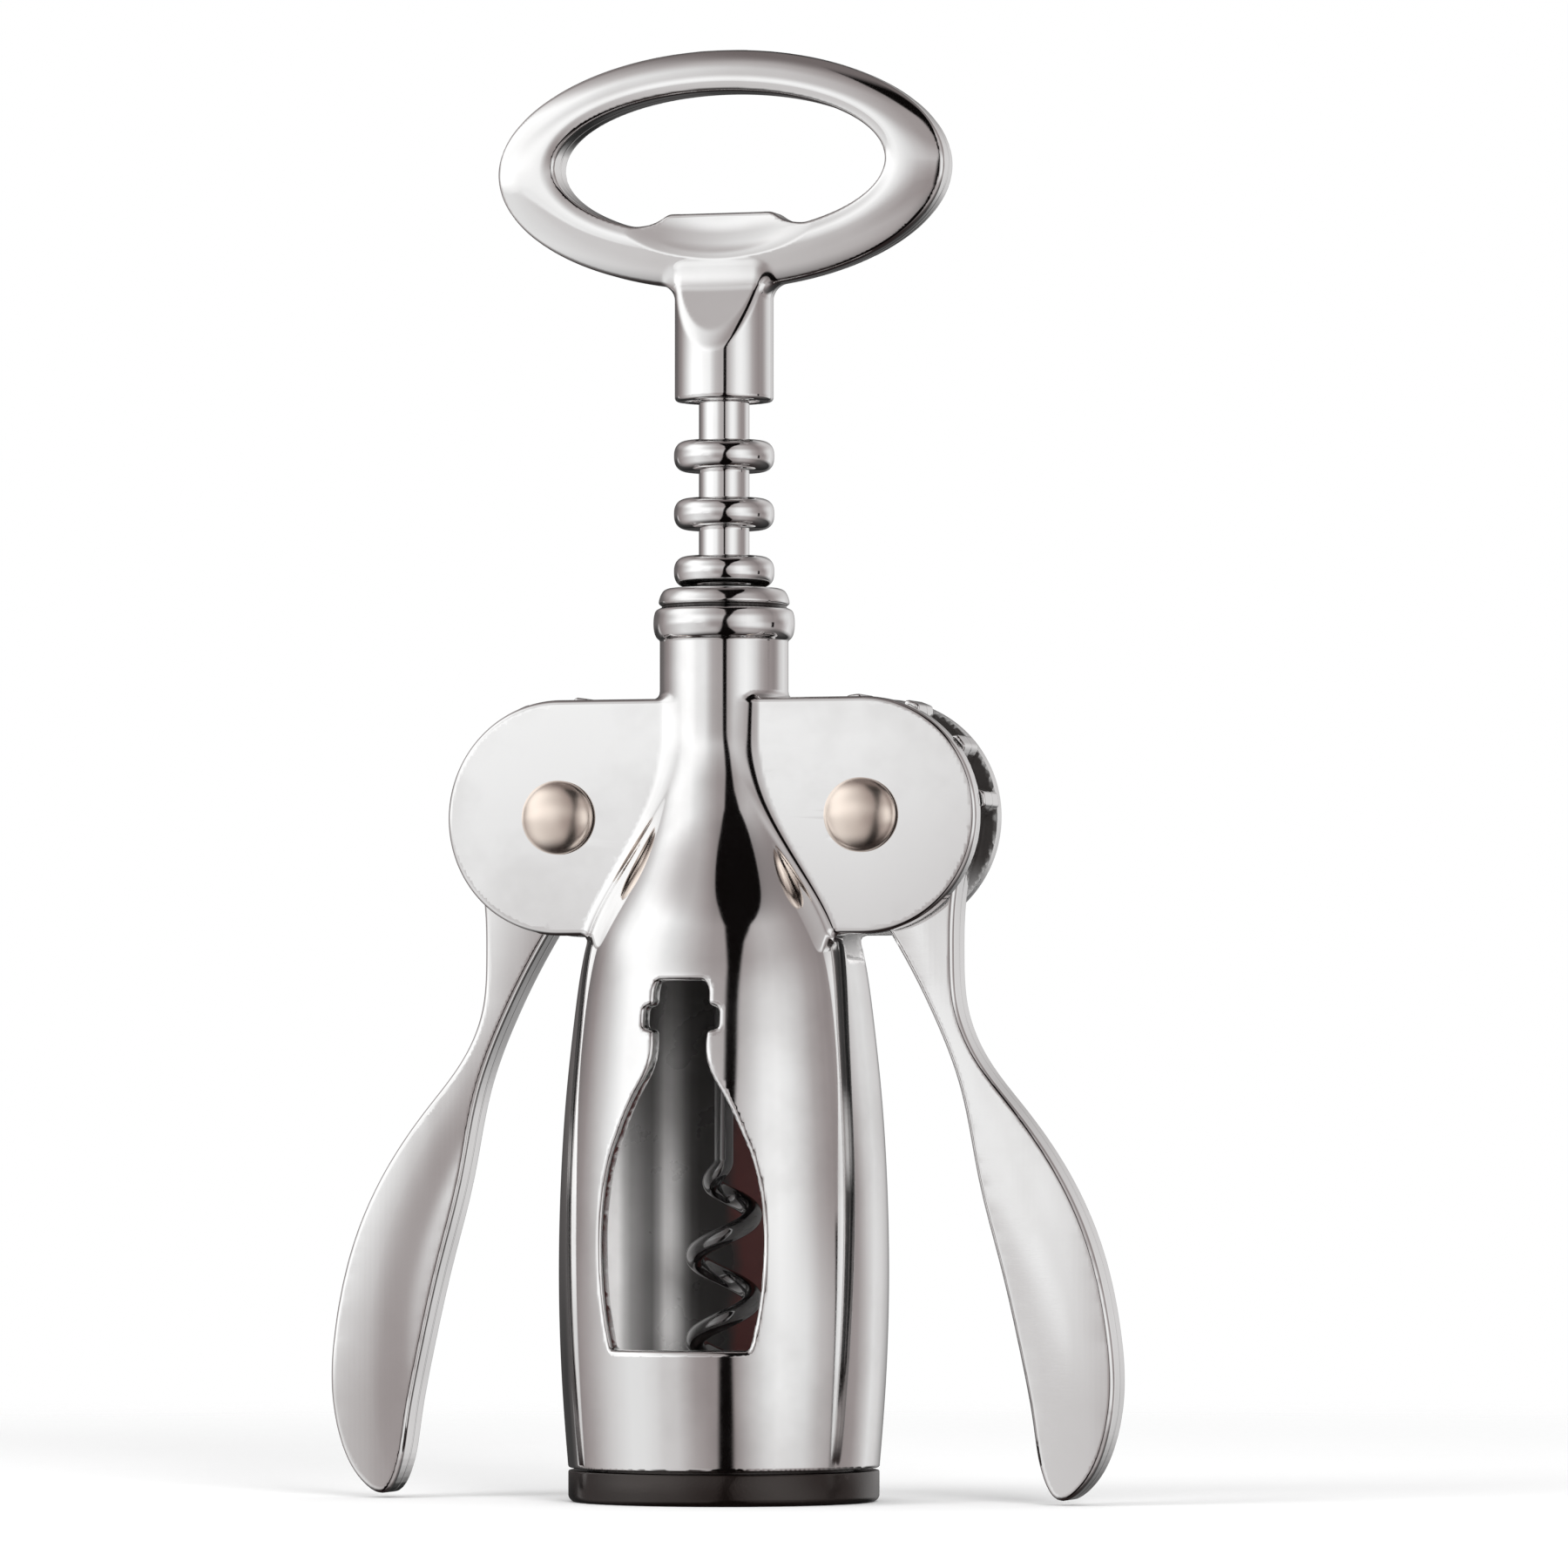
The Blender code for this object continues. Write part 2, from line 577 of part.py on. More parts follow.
def worm_points():
    """The worm's centre line from its shank's top to its tip, each with its wire's radius."""
    wire = WORM_WIRE / 2
    reach = WORM_WIDTH / 2 - wire
    helix_top = WORM_TIP_HEIGHT + WORM_TURNS * WORM_PITCH
    points = [(0, 0, TAIL_END + WORM_SOCKET - SEAT_GAP, wire), (0, 0, TAIL_END, wire)]
    steps = math.ceil((WORM_TURNS + 0.5) * WORM_STEPS)
    for step in range(steps + 1):
        height = helix_top + WORM_PITCH / 2 - step * (WORM_TURNS + 0.5) * WORM_PITCH / steps
        turns = (height - WORM_FRONT_HEIGHT) / WORM_PITCH
        angle = math.radians(WORM_FRONT_DEG) + math.tau * turns
        opening = min(1, step / (WORM_STEPS / 2))
        spread = reach * opening * opening * (3 - 2 * opening)
        tip = min(1, (steps - step) / (WORM_STEPS / 2))
        radius = WORM_TIP_WIRE / 2 + (wire - WORM_TIP_WIRE / 2) * math.sqrt(tip)
        points.append((spread * math.cos(angle), spread * math.sin(angle), height, radius))
    return points


def print_least_gap(points):
    """The least gap between turns of the worm, measured on its points."""
    least = math.inf
    for first, start in enumerate(points):
        for end in points[first + WORM_STEPS // 2 :]:
            least = min(least, math.dist(start[:3], end[:3]) - start[3] - end[3])
    print(f"least gap between the worm's turns: {least:.5f}")


def make_worm(material):
    points = worm_points()
    print_least_gap(points)
    curve = bpy.data.curves.new("worm_screw", "CURVE")
    curve.dimensions = "3D"
    curve.bevel_depth = 1
    curve.bevel_resolution = WIRE_STEPS
    curve.use_fill_caps = True
    line = curve.splines.new("POLY")
    line.points.add(len(points) - 1)
    for spot, (x, y, z, radius) in zip(line.points, points):
        spot.co = (x, y, z, 1)
        spot.radius = radius
    curve.materials.append(material)
    worm = bpy.data.objects.new("worm_screw", curve)
    bpy.context.scene.collection.objects.link(worm)


def main():
    clear_scene()
    chrome = finish("chrome", CHROME_GREY, 1, 0.08)
    steel = finish("zinc plated steel", STEEL_GREY, 1, 0.35)
    nickel = finish("nickel", NICKEL, 1, 0.22)
    plastic = finish("dark plastic", DARK_PLASTIC, 0, 0.35)
    coating = finish("black coating", COATING_BLACK, 0, 0.12)

    make_body(chrome)
    make_rest_ring(plastic)
    for side, name in ((-1, "left"), (1, "right")):
        make_rivet(side, name, nickel)
        make_lever(side, name, chrome)
    make_spindle(chrome)
    make_washer_and_clip(steel)
    make_handle(chrome)
    make_worm(coating)


main()
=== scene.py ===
import math

import bmesh
import bpy
import numpy as np
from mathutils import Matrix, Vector


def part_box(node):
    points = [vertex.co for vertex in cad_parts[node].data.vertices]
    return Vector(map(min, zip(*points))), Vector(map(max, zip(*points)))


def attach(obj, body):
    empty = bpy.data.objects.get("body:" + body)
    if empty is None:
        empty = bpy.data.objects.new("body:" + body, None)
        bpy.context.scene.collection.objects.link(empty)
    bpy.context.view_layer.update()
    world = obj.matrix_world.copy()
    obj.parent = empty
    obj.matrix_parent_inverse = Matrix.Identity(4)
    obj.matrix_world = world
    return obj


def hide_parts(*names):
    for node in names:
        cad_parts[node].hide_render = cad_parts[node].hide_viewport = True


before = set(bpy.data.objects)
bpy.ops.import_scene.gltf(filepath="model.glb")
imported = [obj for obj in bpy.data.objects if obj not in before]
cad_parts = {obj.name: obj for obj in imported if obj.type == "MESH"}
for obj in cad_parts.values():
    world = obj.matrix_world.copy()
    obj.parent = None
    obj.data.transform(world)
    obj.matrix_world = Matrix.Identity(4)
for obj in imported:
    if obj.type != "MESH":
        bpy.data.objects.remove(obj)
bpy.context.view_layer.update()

# The studio: a small object on a pale table, seen from a little to the right with a long lens.
# Soft boxes stand round it, with narrow black gaps between them that polished metal mirrors.
VIEW_TURN = math.radians(17.0)
VIEW_DISTANCE = 1.18
VIEW_HEIGHT = 0.046
AIM_HEIGHT = 0.089
AIM_ASIDE = 0.00745
LENS_MM = 218.0
LAMP_AIM_HEIGHT = 0.08
TABLE_RADIUS = 0.46
TABLE_PLAIN_RADIUS = 0.20
TABLE_CLEAR_RADIUS = 0.45
CHROME_SHINE = 0.94
WARM_GREY = 138
WARM_SPAN = 84
MOST_WARMTH = 6.4
CARD_DEG = -43
SIDE_GAP_DEG = 87.5

bpy.context.scene.view_settings.view_transform = "Standard"
to_camera = (math.sin(VIEW_TURN), -math.cos(VIEW_TURN), 0.0)
to_right = (math.cos(VIEW_TURN), math.sin(VIEW_TURN), 0.0)


def link(tree, source, target):
    tree.links.new(source, target)


def fill(tree, socket, value):
    """Gives a socket a plain value, or a link where the value comes out of another node."""
    if hasattr(value, "is_output"):
        link(tree, value, socket)
    else:
        socket.default_value = value


def node(tree, kind, **settings):
    """A node with its settings, where an input is named in "inputs" by its place or its name."""
    made = tree.nodes.new(kind)
    for name, value in settings.pop("inputs", {}).items():
        fill(tree, made.inputs[name], value)
    for name, value in settings.items():
        setattr(made, name, value)
    return made


def worked(tree, operation, *values):
    """The result of a Math node."""
    return node(tree, "ShaderNodeMath", operation=operation, inputs=dict(enumerate(values))).outputs[0]


def times(tree, first, *others):
    for other in others:
        first = worked(tree, "MULTIPLY", first, other)
    return first


def plus(tree, first, *others):
    for other in others:
        first = worked(tree, "ADD", first, other)
    return first


def minus(tree, first, other):
    return worked(tree, "SUBTRACT", first, other)


def eased(tree, value, start, end, low=0.0, high=1.0, way="SMOOTHSTEP"):
    """The value taken from start..end to low..high with soft ends, and held beyond."""
    span = {"Value": value, "From Min": start, "From Max": end, "To Min": low, "To Max": high}
    return node(tree, "ShaderNodeMapRange", interpolation_type=way, clamp=True, inputs=span).outputs[0]


def straight(tree, value, start, end, low=0.0, high=1.0):
    """The same in a straight line."""
    return eased(tree, value, start, end, low, high, "LINEAR")


def blended(tree, share, first, second):
    """The colour at a share of the way from one colour to another."""
    made = node(tree, "ShaderNodeMix", data_type="RGBA", clamp_factor=True)
    for place, value in ((0, share), (6, first), (7, second)):
        fill(tree, made.inputs[place], value)
    return made.outputs[2]


def measured(tree, spot, axis):
    """How far a place lies along an axis."""
    made = node(tree, "ShaderNodeVectorMath", operation="DOT_PRODUCT", inputs={0: spot, 1: axis})
    return made.outputs["Value"]


def own_place(tree):
    """The place on the piece itself, in metres."""
    return node(tree, "ShaderNodeTexCoord").outputs["Object"]


def noise(tree, spot, scale, detail, roughness=0.5):
    """Cloudy variation about 0.5."""
    size = {"Vector": spot, "Scale": scale, "Detail": detail, "Roughness": roughness}
    return node(tree, "ShaderNodeTexNoise", inputs=size).outputs["Fac"]


def placed(name, data):
    """An object in the scene, at the origin."""
    thing = bpy.data.objects.new(name, data)
    bpy.context.scene.collection.objects.link(thing)
    return thing


def display_grey(level, warmth=0.0):
    """The light that chromium plating shows as this grey of 0 to 255, a little warm where asked."""
    shades = []
    for share in (level + warmth, level - 0.25 * warmth, level - 0.35 * warmth):
        share = min(max(share / 255, 0.0), 1.25)
        light = share / 12.92 if share < 0.04045 else ((share + 0.055) / 1.055) ** 2.4
        shades.append(light / CHROME_SHINE)
    return (*shades, 1.0)


def ramp(tree, value, stops):
    """A Color Ramp over stops of (place, colour)."""
    made = node(tree, "ShaderNodeValToRGB", inputs={"Fac": value})
    while len(made.color_ramp.elements) < len(stops):
        made.color_ramp.elements.new(0.5)
    for element, (place, colour) in zip(made.color_ramp.elements, sorted(stops)):
        element.position = place
        element.color = colour
    return made.outputs[0]


def build_studio_world():
    """White where the camera looks past the object, and the ring of soft boxes where metal mirrors it."""
    world = bpy.data.worlds.new("studio")
    bpy.context.scene.world = world
    world.use_nodes = True
    tree = world.node_tree
    tree.nodes.clear()
    direction = node(tree, "ShaderNodeTexCoord").outputs["Generated"]
    aside, ahead, rise = [measured(tree, direction, axis) for axis in (to_right, to_camera, (0, 0, 1))]
    turn = worked(tree, "ARCTAN2", aside, ahead)
    place = plus(tree, worked(tree, "DIVIDE", turn, math.tau), 0.5)

    # The soft boxes at six heights, each as (degrees to the right of the camera, grey that metal shows).
    rows = {
        "floor": [
            (-180, 20), (-150, 60), (-120, 150), (-90, 202), (-73, 224), (-60, 218), (-50, 208),
            (-40, 196), (-27, 184), (-20, 176), (-12, 160), (0, 90), (20, 140), (40, 172), (60, 158),
            (75, 130), (90, 98), (120, 72), (150, 50), (180, 20),
        ],
        "low": [
            (-180, 62), (-148, 60), (-139, 84), (-136, 205), (-133, 170), (-129, 124), (-120, 144),
            (-110, 160), (-100, 179), (-90, 198), (-80, 211), (-70, 221), (-60, 220), (-50, 211),
            (-44, 200), (-33, 196), (-27, 176), (-20, 152), (-10, 140), (8, 140), (20, 194), (30, 222),
            (40, 236), (50, 230), (60, 222), (72, 186), (96, 140), (108, 148), (118, 182), (130, 220),
            (144, 208), (180, 70),
        ],
        "table": [
            (-180, 84), (-140, 104), (-130, 126), (-120, 142), (-110, 170), (-100, 208), (-90, 240),
            (-80, 262), (-68, 270), (-58, 262), (-50, 242), (-40, 236), (-34, 232), (-27, 196),
            (-20, 169), (-10, 157), (8, 160), (20, 207), (30, 235), (40, 241), (50, 229), (60, 203),
            (70, 166), (80, 146), (92, 138), (102, 130), (110, 150), (120, 196), (134, 218), (145, 208),
            (160, 198), (180, 84),
        ],
        "near": [
            (-180, 84), (-140, 100), (-120, 140), (-100, 196), (-90, 226), (-80, 252), (-60, 264),
            (-50, 260), (-40, 252), (-34, 244), (-27, 220), (-20, 198), (-10, 182), (8, 172), (20, 207),
            (30, 235), (40, 241), (50, 229), (60, 203), (70, 166), (80, 146), (90, 140), (100, 150),
            (110, 186), (122, 214), (134, 218), (145, 208), (160, 198), (180, 84),
        ],
        "box": [
            (-180, 60), (-150, 140), (-120, 172), (-110, 206), (-100, 244), (-90, 258), (-78, 262),
            (-60, 250), (-50, 228), (-40, 210), (-30, 188), (-20, 167), (-10, 150), (6, 144), (20, 152),
            (30, 172), (40, 180), (50, 173), (60, 161), (70, 144), (80, 134), (90, 127), (100, 140),
            (110, 160), (130, 188), (150, 196), (180, 60),
        ],
        "high": [
            (-180, 50), (-120, 130), (-100, 165), (-80, 176), (-70, 172), (-60, 170), (-50, 172),
            (-40, 172), (-30, 160), (-20, 143), (-10, 125), (10, 114), (40, 111), (60, 120), (80, 121),
            (120, 108), (180, 50),
        ],
    }

    def lit(stops):
        shown = []
        for degrees, level in stops:
            warmth = MOST_WARMTH * max(1 - abs(level - WARM_GREY) / WARM_SPAN, 0)
            shown.append((degrees / 360 + 0.5, display_grey(level, warmth)))
        return ramp(tree, place, shown)

    lights = {name: lit(stops) for name, stops in rows.items()}
    light = blended(tree, straight(tree, rise, 0.045, -0.05), lights["table"], lights["low"])

    # A pale card stands low at the left.
    beside = worked(tree, "ABSOLUTE", minus(tree, turn, math.radians(CARD_DEG)))
    card = times(tree, eased(tree, beside, 0.150, 0.070), eased(tree, rise, -0.040, -0.012))
    light = blended(tree, times(tree, card, eased(tree, rise, 0.038, 0.024)), light, display_grey(234))

    # Each further layer takes over between two heights: rows of boxes, the dark below and the ceiling.
    light = blended(tree, straight(tree, rise, -0.15, -0.32), light, lights["floor"])
    for start, end, layer in (
        (-0.45, -0.95, display_grey(34, 6)),
        (0.02, 0.15, lights["near"]),
        (0.15, 0.40, lights["box"]),
        (0.60, 0.84, lights["high"]),
        (0.80, 0.97, display_grey(104, 6)),
    ):
        light = blended(tree, eased(tree, rise, start, end), light, layer)

    # The black gap in front of the camera is narrow at the table and wide overhead and underneath.
    height_place = plus(tree, times(tree, rise, 0.5), 0.5)

    def edge_of(stops):
        """An edge of the gap, as an angle from the camera, through stops of (rise, degrees)."""
        steps = [(height / 2 + 0.5, (degrees / 180 + 0.5,) * 3 + (1,)) for height, degrees in stops]
        grey = ramp(tree, height_place, steps)
        level = node(tree, "ShaderNodeSeparateColor", inputs={0: grey}).outputs[0]
        return times(tree, minus(tree, level, 0.5), math.pi)

    left_edge = edge_of([
        (-0.85, -16), (-0.6, -8), (-0.3, -4), (-0.04, -3), (0.06, -2), (0.35, 3), (0.64, 1), (0.77, -6),
        (0.88, -16), (0.95, -28),
    ])
    right_edge = edge_of([
        (-0.7, 24), (-0.3, 9), (-0.04, 5.5), (0.06, 5), (0.34, 14), (0.5, 18.5), (0.64, 27), (0.77, 46),
        (0.9, 66),
    ])
    gap = worked(tree, "MINIMUM", minus(tree, turn, left_edge), minus(tree, right_edge, turn))
    gap = times(tree, eased(tree, gap, -0.030, 0.030), eased(tree, rise, 0.97, 0.88))
    light = blended(tree, gap, light, display_grey(8, 2))

    # A second gap at the right of the object is black only as high as the table.
    beside = worked(tree, "ABSOLUTE", minus(tree, turn, math.radians(SIDE_GAP_DEG)))
    second = times(tree, eased(tree, beside, 0.068, 0.030), eased(tree, rise, 0.036, 0.016, 0.05, 1.0))
    second = times(tree, second, eased(tree, rise, -0.19, -0.12))
    light = blended(tree, second, light, display_grey(14, 3))

    rays = node(tree, "ShaderNodeLightPath")
    mirrored = worked(tree, "MAXIMUM", rays.outputs["Is Glossy Ray"], rays.outputs["Is Transmission Ray"])
    plain = blended(tree, rays.outputs["Is Camera Ray"], (0.80, 0.80, 0.80, 1), (1, 1, 1, 1))
    seen = blended(tree, mirrored, plain, light)
    background = node(tree, "ShaderNodeBackground", inputs={"Color": seen, "Strength": 1.0})
    out = node(tree, "ShaderNodeOutputWorld")
    link(tree, background.outputs[0], out.inputs["Surface"])


def build_camera():
    camera = placed("camera", bpy.data.cameras.new("camera"))
    camera.data.lens = LENS_MM
    camera.data.clip_start = 0.05
    camera.data.clip_end = 20
    reach = [VIEW_DISTANCE * part for part in to_camera]
    eye = [reach[k] + AIM_ASIDE * to_right[k] for k in range(2)] + [VIEW_HEIGHT]
    aim = [AIM_ASIDE * to_right[k] for k in range(2)] + [AIM_HEIGHT]
    camera.location = eye
    towards = [a - e for a, e in zip(aim, eye)]
    camera.rotation_euler = Vector(towards).to_track_quat("-Z", "Y").to_euler()
    bpy.context.scene.camera = camera


def build_lamp(name, place, size, watts):
    """A round soft lamp aimed at the object, which metal doesn't mirror."""
    lamp = placed(name, bpy.data.lights.new(name, "AREA"))
    lamp.data.shape = "DISK"
    lamp.data.size = size
    lamp.data.energy = watts
    lamp.location = place
    towards = Vector((0, 0, LAMP_AIM_HEIGHT)) - Vector(place)
    lamp.rotation_euler = towards.to_track_quat("-Z", "Y").to_euler()
    lamp.visible_glossy = False


def build_floor():
    """A pale round table top that fades out, so that it has no edge against the white."""
    mesh = bpy.data.meshes.new("table_top")
    shape = bmesh.new()
    bmesh.ops.create_circle(shape, cap_ends=True, radius=TABLE_RADIUS, segments=96)
    shape.to_mesh(mesh)
    shape.free()
    floor = placed("table_top", mesh)
    material = bpy.data.materials.new("table_top_paint")
    material.use_nodes = True
    tree = material.node_tree
    tree.nodes.clear()
    spot = own_place(tree)
    away = node(tree, "ShaderNodeVectorMath", operation="LENGTH", inputs={0: spot}).outputs["Value"]
    grain = noise(tree, spot, 220.0, 3.0)
    pale = blended(tree, grain, (0.93, 0.93, 0.93, 1), (0.95, 0.95, 0.95, 1))
    paint = node(tree, "ShaderNodeBsdfDiffuse", inputs={"Color": pale})
    clear = node(tree, "ShaderNodeBsdfTransparent")
    fade = eased(tree, away, TABLE_PLAIN_RADIUS, TABLE_CLEAR_RADIUS)
    layers = {0: fade, 1: paint.outputs[0], 2: clear.outputs[0]}
    mixed = node(tree, "ShaderNodeMixShader", inputs=layers)
    link(tree, mixed.outputs[0], node(tree, "ShaderNodeOutputMaterial").inputs["Surface"])
    mesh.materials.append(material)
    floor.visible_glossy = False


build_studio_world()
build_camera()
build_lamp("key_lamp", (-0.55, -0.60, 0.75), 0.50, 3.2)
build_lamp("fill_lamp", (0.60, -0.80, 0.26), 0.46, 9.0)
build_floor()

# The body casting: a zinc die casting, polished and chromium plated. It is a wine bottle without a
# bottom, with a window shaped like a bottle and two pairs of ears that hold the levers' rivets.
PIVOT_HEIGHT = 0.0848
PIVOT_REACH = 0.0196010
FOOT_HEIGHT = 0.0042
BELL_RADIUS = 0.0205
BELL_WALL = 0.0028
NECK_BASE = 0.0934
NECK_RADIUS = 0.0080
NECK_TOP = 0.1069
BORE_RADIUS = 0.00655
BEAD_HEIGHT = 0.0041
BEAD_SWELL = 0.0008
BEAD_SQUARENESS = 2.2
GROOVE = 0.00050
GROOVE_WIDTH = 0.00028
LIP_HEIGHT = 0.0024
LIP_SWELL = 0.00020
LIP_DRAW = 0.0017
LIP_FULLNESS = 0.93
LIP_EDGE = 0.0005
COLLAR_TOP = 0.1134
COLLAR_SOFTNESS = 0.00010
BELL_SOFTNESS = 0.0012
FOOT_EDGE = 0.0003
EAR_OUTER = 0.0063
EAR_INNER = 0.0035
EAR_RADIUS = 0.01465
EAR_EDGE = 0.0006
EAR_FILLET = 0.0010
EAR_PILLOW = 0.00016
SLOT_RADIUS = 0.0178
PIVOT_BORE = 0.0029
BORE_EDGE = 0.0002
HOLLOW_EDGE = 0.0003
WINDOW_SILL = 0.0191
WINDOW_HEIGHT = 0.0452
WINDOW_HALF_WIDTH = 0.0104
WINDOW_BACK = -0.0090
WINDOW_EDGE = 0.0007
WINDOW_CORNER = 0.00028
PROFILE_STEP = 0.00002
OUTLINE_STEP = 0.0003
OUTLINE_ROOM = 0.003
TABLE_STEP = 0.00015
MARK_DEPTH = 0.0006
NET_ROOM = 0.0006
EAR_ROOM = 0.0008
BODY_NET = 0.00045
BODY_FINE_NET = 0.00015
EAR_EDGE_SPANS = ((-0.0068, -0.0052), (0.0052, 0.0068))
COLLAR_SPAN = (0.1060, 0.1140)
CHROME = (0.945, 0.942, 0.940, 1)
RUBBED_CHROME = (0.98, 0.97, 0.95, 1)
# Residue colour for smudges, also painted shade in the inner corners.
CHROME_RESIDUE_AND_SHADE = (0.52, 0.50, 0.49, 1)
WALL_PLATING = (0.95, 0.94, 0.935, 1)
CLOUDED_PLATING = (0.55, 0.53, 0.52, 1)
# Near black, painted shade on the rough walls: at the dark end of the streaks, high up and in the slots.
SHADE_BLACK = (0.030, 0.027, 0.026, 1)
WINE_STAIN = (0.17, 0.054, 0.050, 1)
# Painted shade in the collar's groove.
GROOVE_SHADE = (0.060, 0.054, 0.052, 1)
WINDOW_RIGHT = (0.96, 0.29, 0)
WINDOW_FRONT = (0.29, -0.96, 0)
ROUGH_DEPTH = 0.0005
ROUGH_SLOT_DEPTH = 0.0003
PAINTED_LIGHT_SPAN = (-0.016, 0.004)
# Painted shade: the rough walls darken towards the top.
TOP_SHADE_FADE = (0.072, 0.034)
# Painted shade: the rough walls turn nearly black from this height up, in the slots too.
TOP_SHADE_FROM = (0.0660, 0.0800)
REAR_FROM = (0.002, -0.006)
REAR_RIGHT_END = (0.012, 0.008)
STAIN_LEFT = (0.0014, 0.0034)
STAIN_RIGHT = (0.0110, 0.0085)
STAIN_TOP = (0.060, 0.046)
GROOVE_SHADE_SPAN = (0.00034, 0.00012)
bell_shares = [
    (0.0, 0.904), (0.09, 0.955), (0.18, 0.988), (0.28, 1.0), (0.40, 0.980), (0.51, 0.932), (0.62, 0.850),
    (0.70, 0.770), (0.75, 0.680), (0.80, 0.515), (0.845, 0.340), (0.89, 0.185), (0.94, 0.065), (1.0, 0.0),
]
window_shares = [
    (0.846, 0.0), (0.945, 0.11), (0.995, 0.24), (0.995, 0.34), (0.955, 0.43), (0.865, 0.52), (0.71, 0.61),
    (0.53, 0.695), (0.38, 0.755), (0.325, 0.80), (0.325, 0.865),
]
window_cap_shares = [(0.46, 0.872), (0.46, 0.925), (0.335, 0.935), (0.335, 0.975), (0.29, 1.0)]
# Painted light and shade across the back wall of the hollow: light at the left and in a band near the
# middle, dark at the right.
painted_light_shares = [
    (0.0, 1.0), (0.13, 1.0), (0.17, 0.56), (0.21, 0.34), (0.26, 0.25), (0.30, 0.18), (0.34, 0.15),
    (0.38, 0.38), (0.42, 0.92), (0.46, 1.0), (0.505, 0.70), (0.55, 0.26), (0.59, 0.08), (0.64, 0.03),
    (1.0, 0.03),
]


def softened(values, spacing, width, closed=False):
    """Values along an even line, smoothed over a width."""
    reach = max(int(4 * width / spacing), 1)
    steps = np.arange(-reach, reach + 1) * spacing
    weights = np.exp(-0.5 * (steps / width) ** 2)
    weights /= weights.sum()
    ends = {"mode": "wrap"} if closed else {"mode": "reflect", "reflect_type": "odd"}
    return np.convolve(np.pad(values, reach, **ends), weights, mode="valid")


def fair_curve(points, count):
    """Points along a spline through the given ones whose bend changes evenly."""
    points = np.array(points, float)
    chord = np.concatenate([[0], np.cumsum(np.linalg.norm(np.diff(points, axis=0), axis=1))])
    steps = np.diff(chord)
    last = len(points) - 1
    system, pull = np.eye(last + 1), np.zeros_like(points)
    for k in range(1, last):
        system[k, k - 1 : k + 2] = steps[k - 1], 2 * (steps[k - 1] + steps[k]), steps[k]
        after, before = (points[k + 1] - points[k]) / steps[k], (points[k] - points[k - 1]) / steps[k - 1]
        pull[k] = 6 * (after - before)
    bend = np.linalg.solve(system, pull)
    along = np.linspace(0, chord[-1], count)
    k = np.clip(np.searchsorted(chord, along, side="right") - 1, 0, last - 1)
    a, b, h = (chord[k + 1] - along)[:, None], (along - chord[k])[:, None], steps[k][:, None]
    cubic = (bend[k] * a**3 + bend[k + 1] * b**3) / (6 * h)
    return cubic + (points[k] / h - bend[k] * h / 6) * a + (points[k + 1] / h - bend[k + 1] * h / 6) * b


def even_outline(points, spacing, soft):
    """A closed outline at an even spacing, with its corners eased."""
    points = np.array(points, float)
    closed = np.vstack([points, points[:1]])
    chord = np.concatenate([[0], np.cumsum(np.linalg.norm(np.diff(closed, axis=0), axis=1))])
    count = int(chord[-1] / spacing)
    along = np.linspace(0, chord[-1], count, endpoint=False)
    line = [np.interp(along, chord, closed[:, axis]) for axis in (0, 1)]
    return np.stack([softened(values, spacing, soft, closed=True) for values in line], 1)


def table_reader(table, low, spacing):
    """Reads between the places of an even table that starts at a corner, and its rim beyond it."""
    last = [length - 1.001 for length in table.shape]

    def read(x, z):
        s = np.clip((x - low[0]) / spacing, 0, last[0])
        t = np.clip((z - low[1]) / spacing, 0, last[1])
        s, t = np.broadcast_arrays(s, t)
        i, j = s.astype(int), t.astype(int)
        s, t = s - i, t - j
        lower = table[i, j] * (1 - s) + table[i + 1, j] * s
        upper = table[i, j + 1] * (1 - s) + table[i + 1, j + 1] * s
        return lower * (1 - t) + upper * t

    return read


def table_places(outline, room, spacing):
    """The corner of an even table over an outline and some room, and its places along x and z."""
    low, high = outline.min(0) - room, outline.max(0) + room
    return low, [np.arange(a, b + spacing, spacing) for a, b in zip(low, high)]


def outline_form(outline, room, spacing):
    """Distance to a closed outline in x and z, negative inside it, read from a fine table."""
    low, (us, vs) = table_places(outline, room, spacing)
    u, v = [part.ravel() for part in np.meshgrid(us, vs, indexing="ij")]
    nearest = np.full(len(u), 1.0)
    inside = np.zeros(len(u), bool)
    for (ax, ay), (bx, by) in zip(outline, np.roll(outline, -1, axis=0)):
        ex, ey = bx - ax, by - ay
        du, dv = u - ax, v - ay
        share = np.clip((du * ex + dv * ey) / (ex * ex + ey * ey), 0, 1)
        nearest = np.minimum(nearest, (du - share * ex) ** 2 + (dv - share * ey) ** 2)
        if ay != by:
            inside ^= ((ay > v) != (by > v)) & (u < ex * (v - ay) / ey + ax)
    table = np.where(inside, -np.sqrt(nearest), np.sqrt(nearest)).reshape(len(us), len(vs))
    return table_reader(table, low, spacing)


def joined(a, b, radius):
    """Two forms run together, with a fillet in the corner between them."""
    corner = np.hypot(np.maximum(radius - a, 0), np.maximum(radius - b, 0))
    return np.maximum(radius, np.minimum(a, b)) - corner


def common(a, b, radius):
    """What two forms share, with its edge rounded."""
    corner = np.hypot(np.maximum(radius + a, 0), np.maximum(radius + b, 0))
    return np.minimum(-radius, np.maximum(a, b)) + corner


def cut(a, b, radius):
    """The first form without the second, with the edge rounded."""
    return common(a, -b, radius)


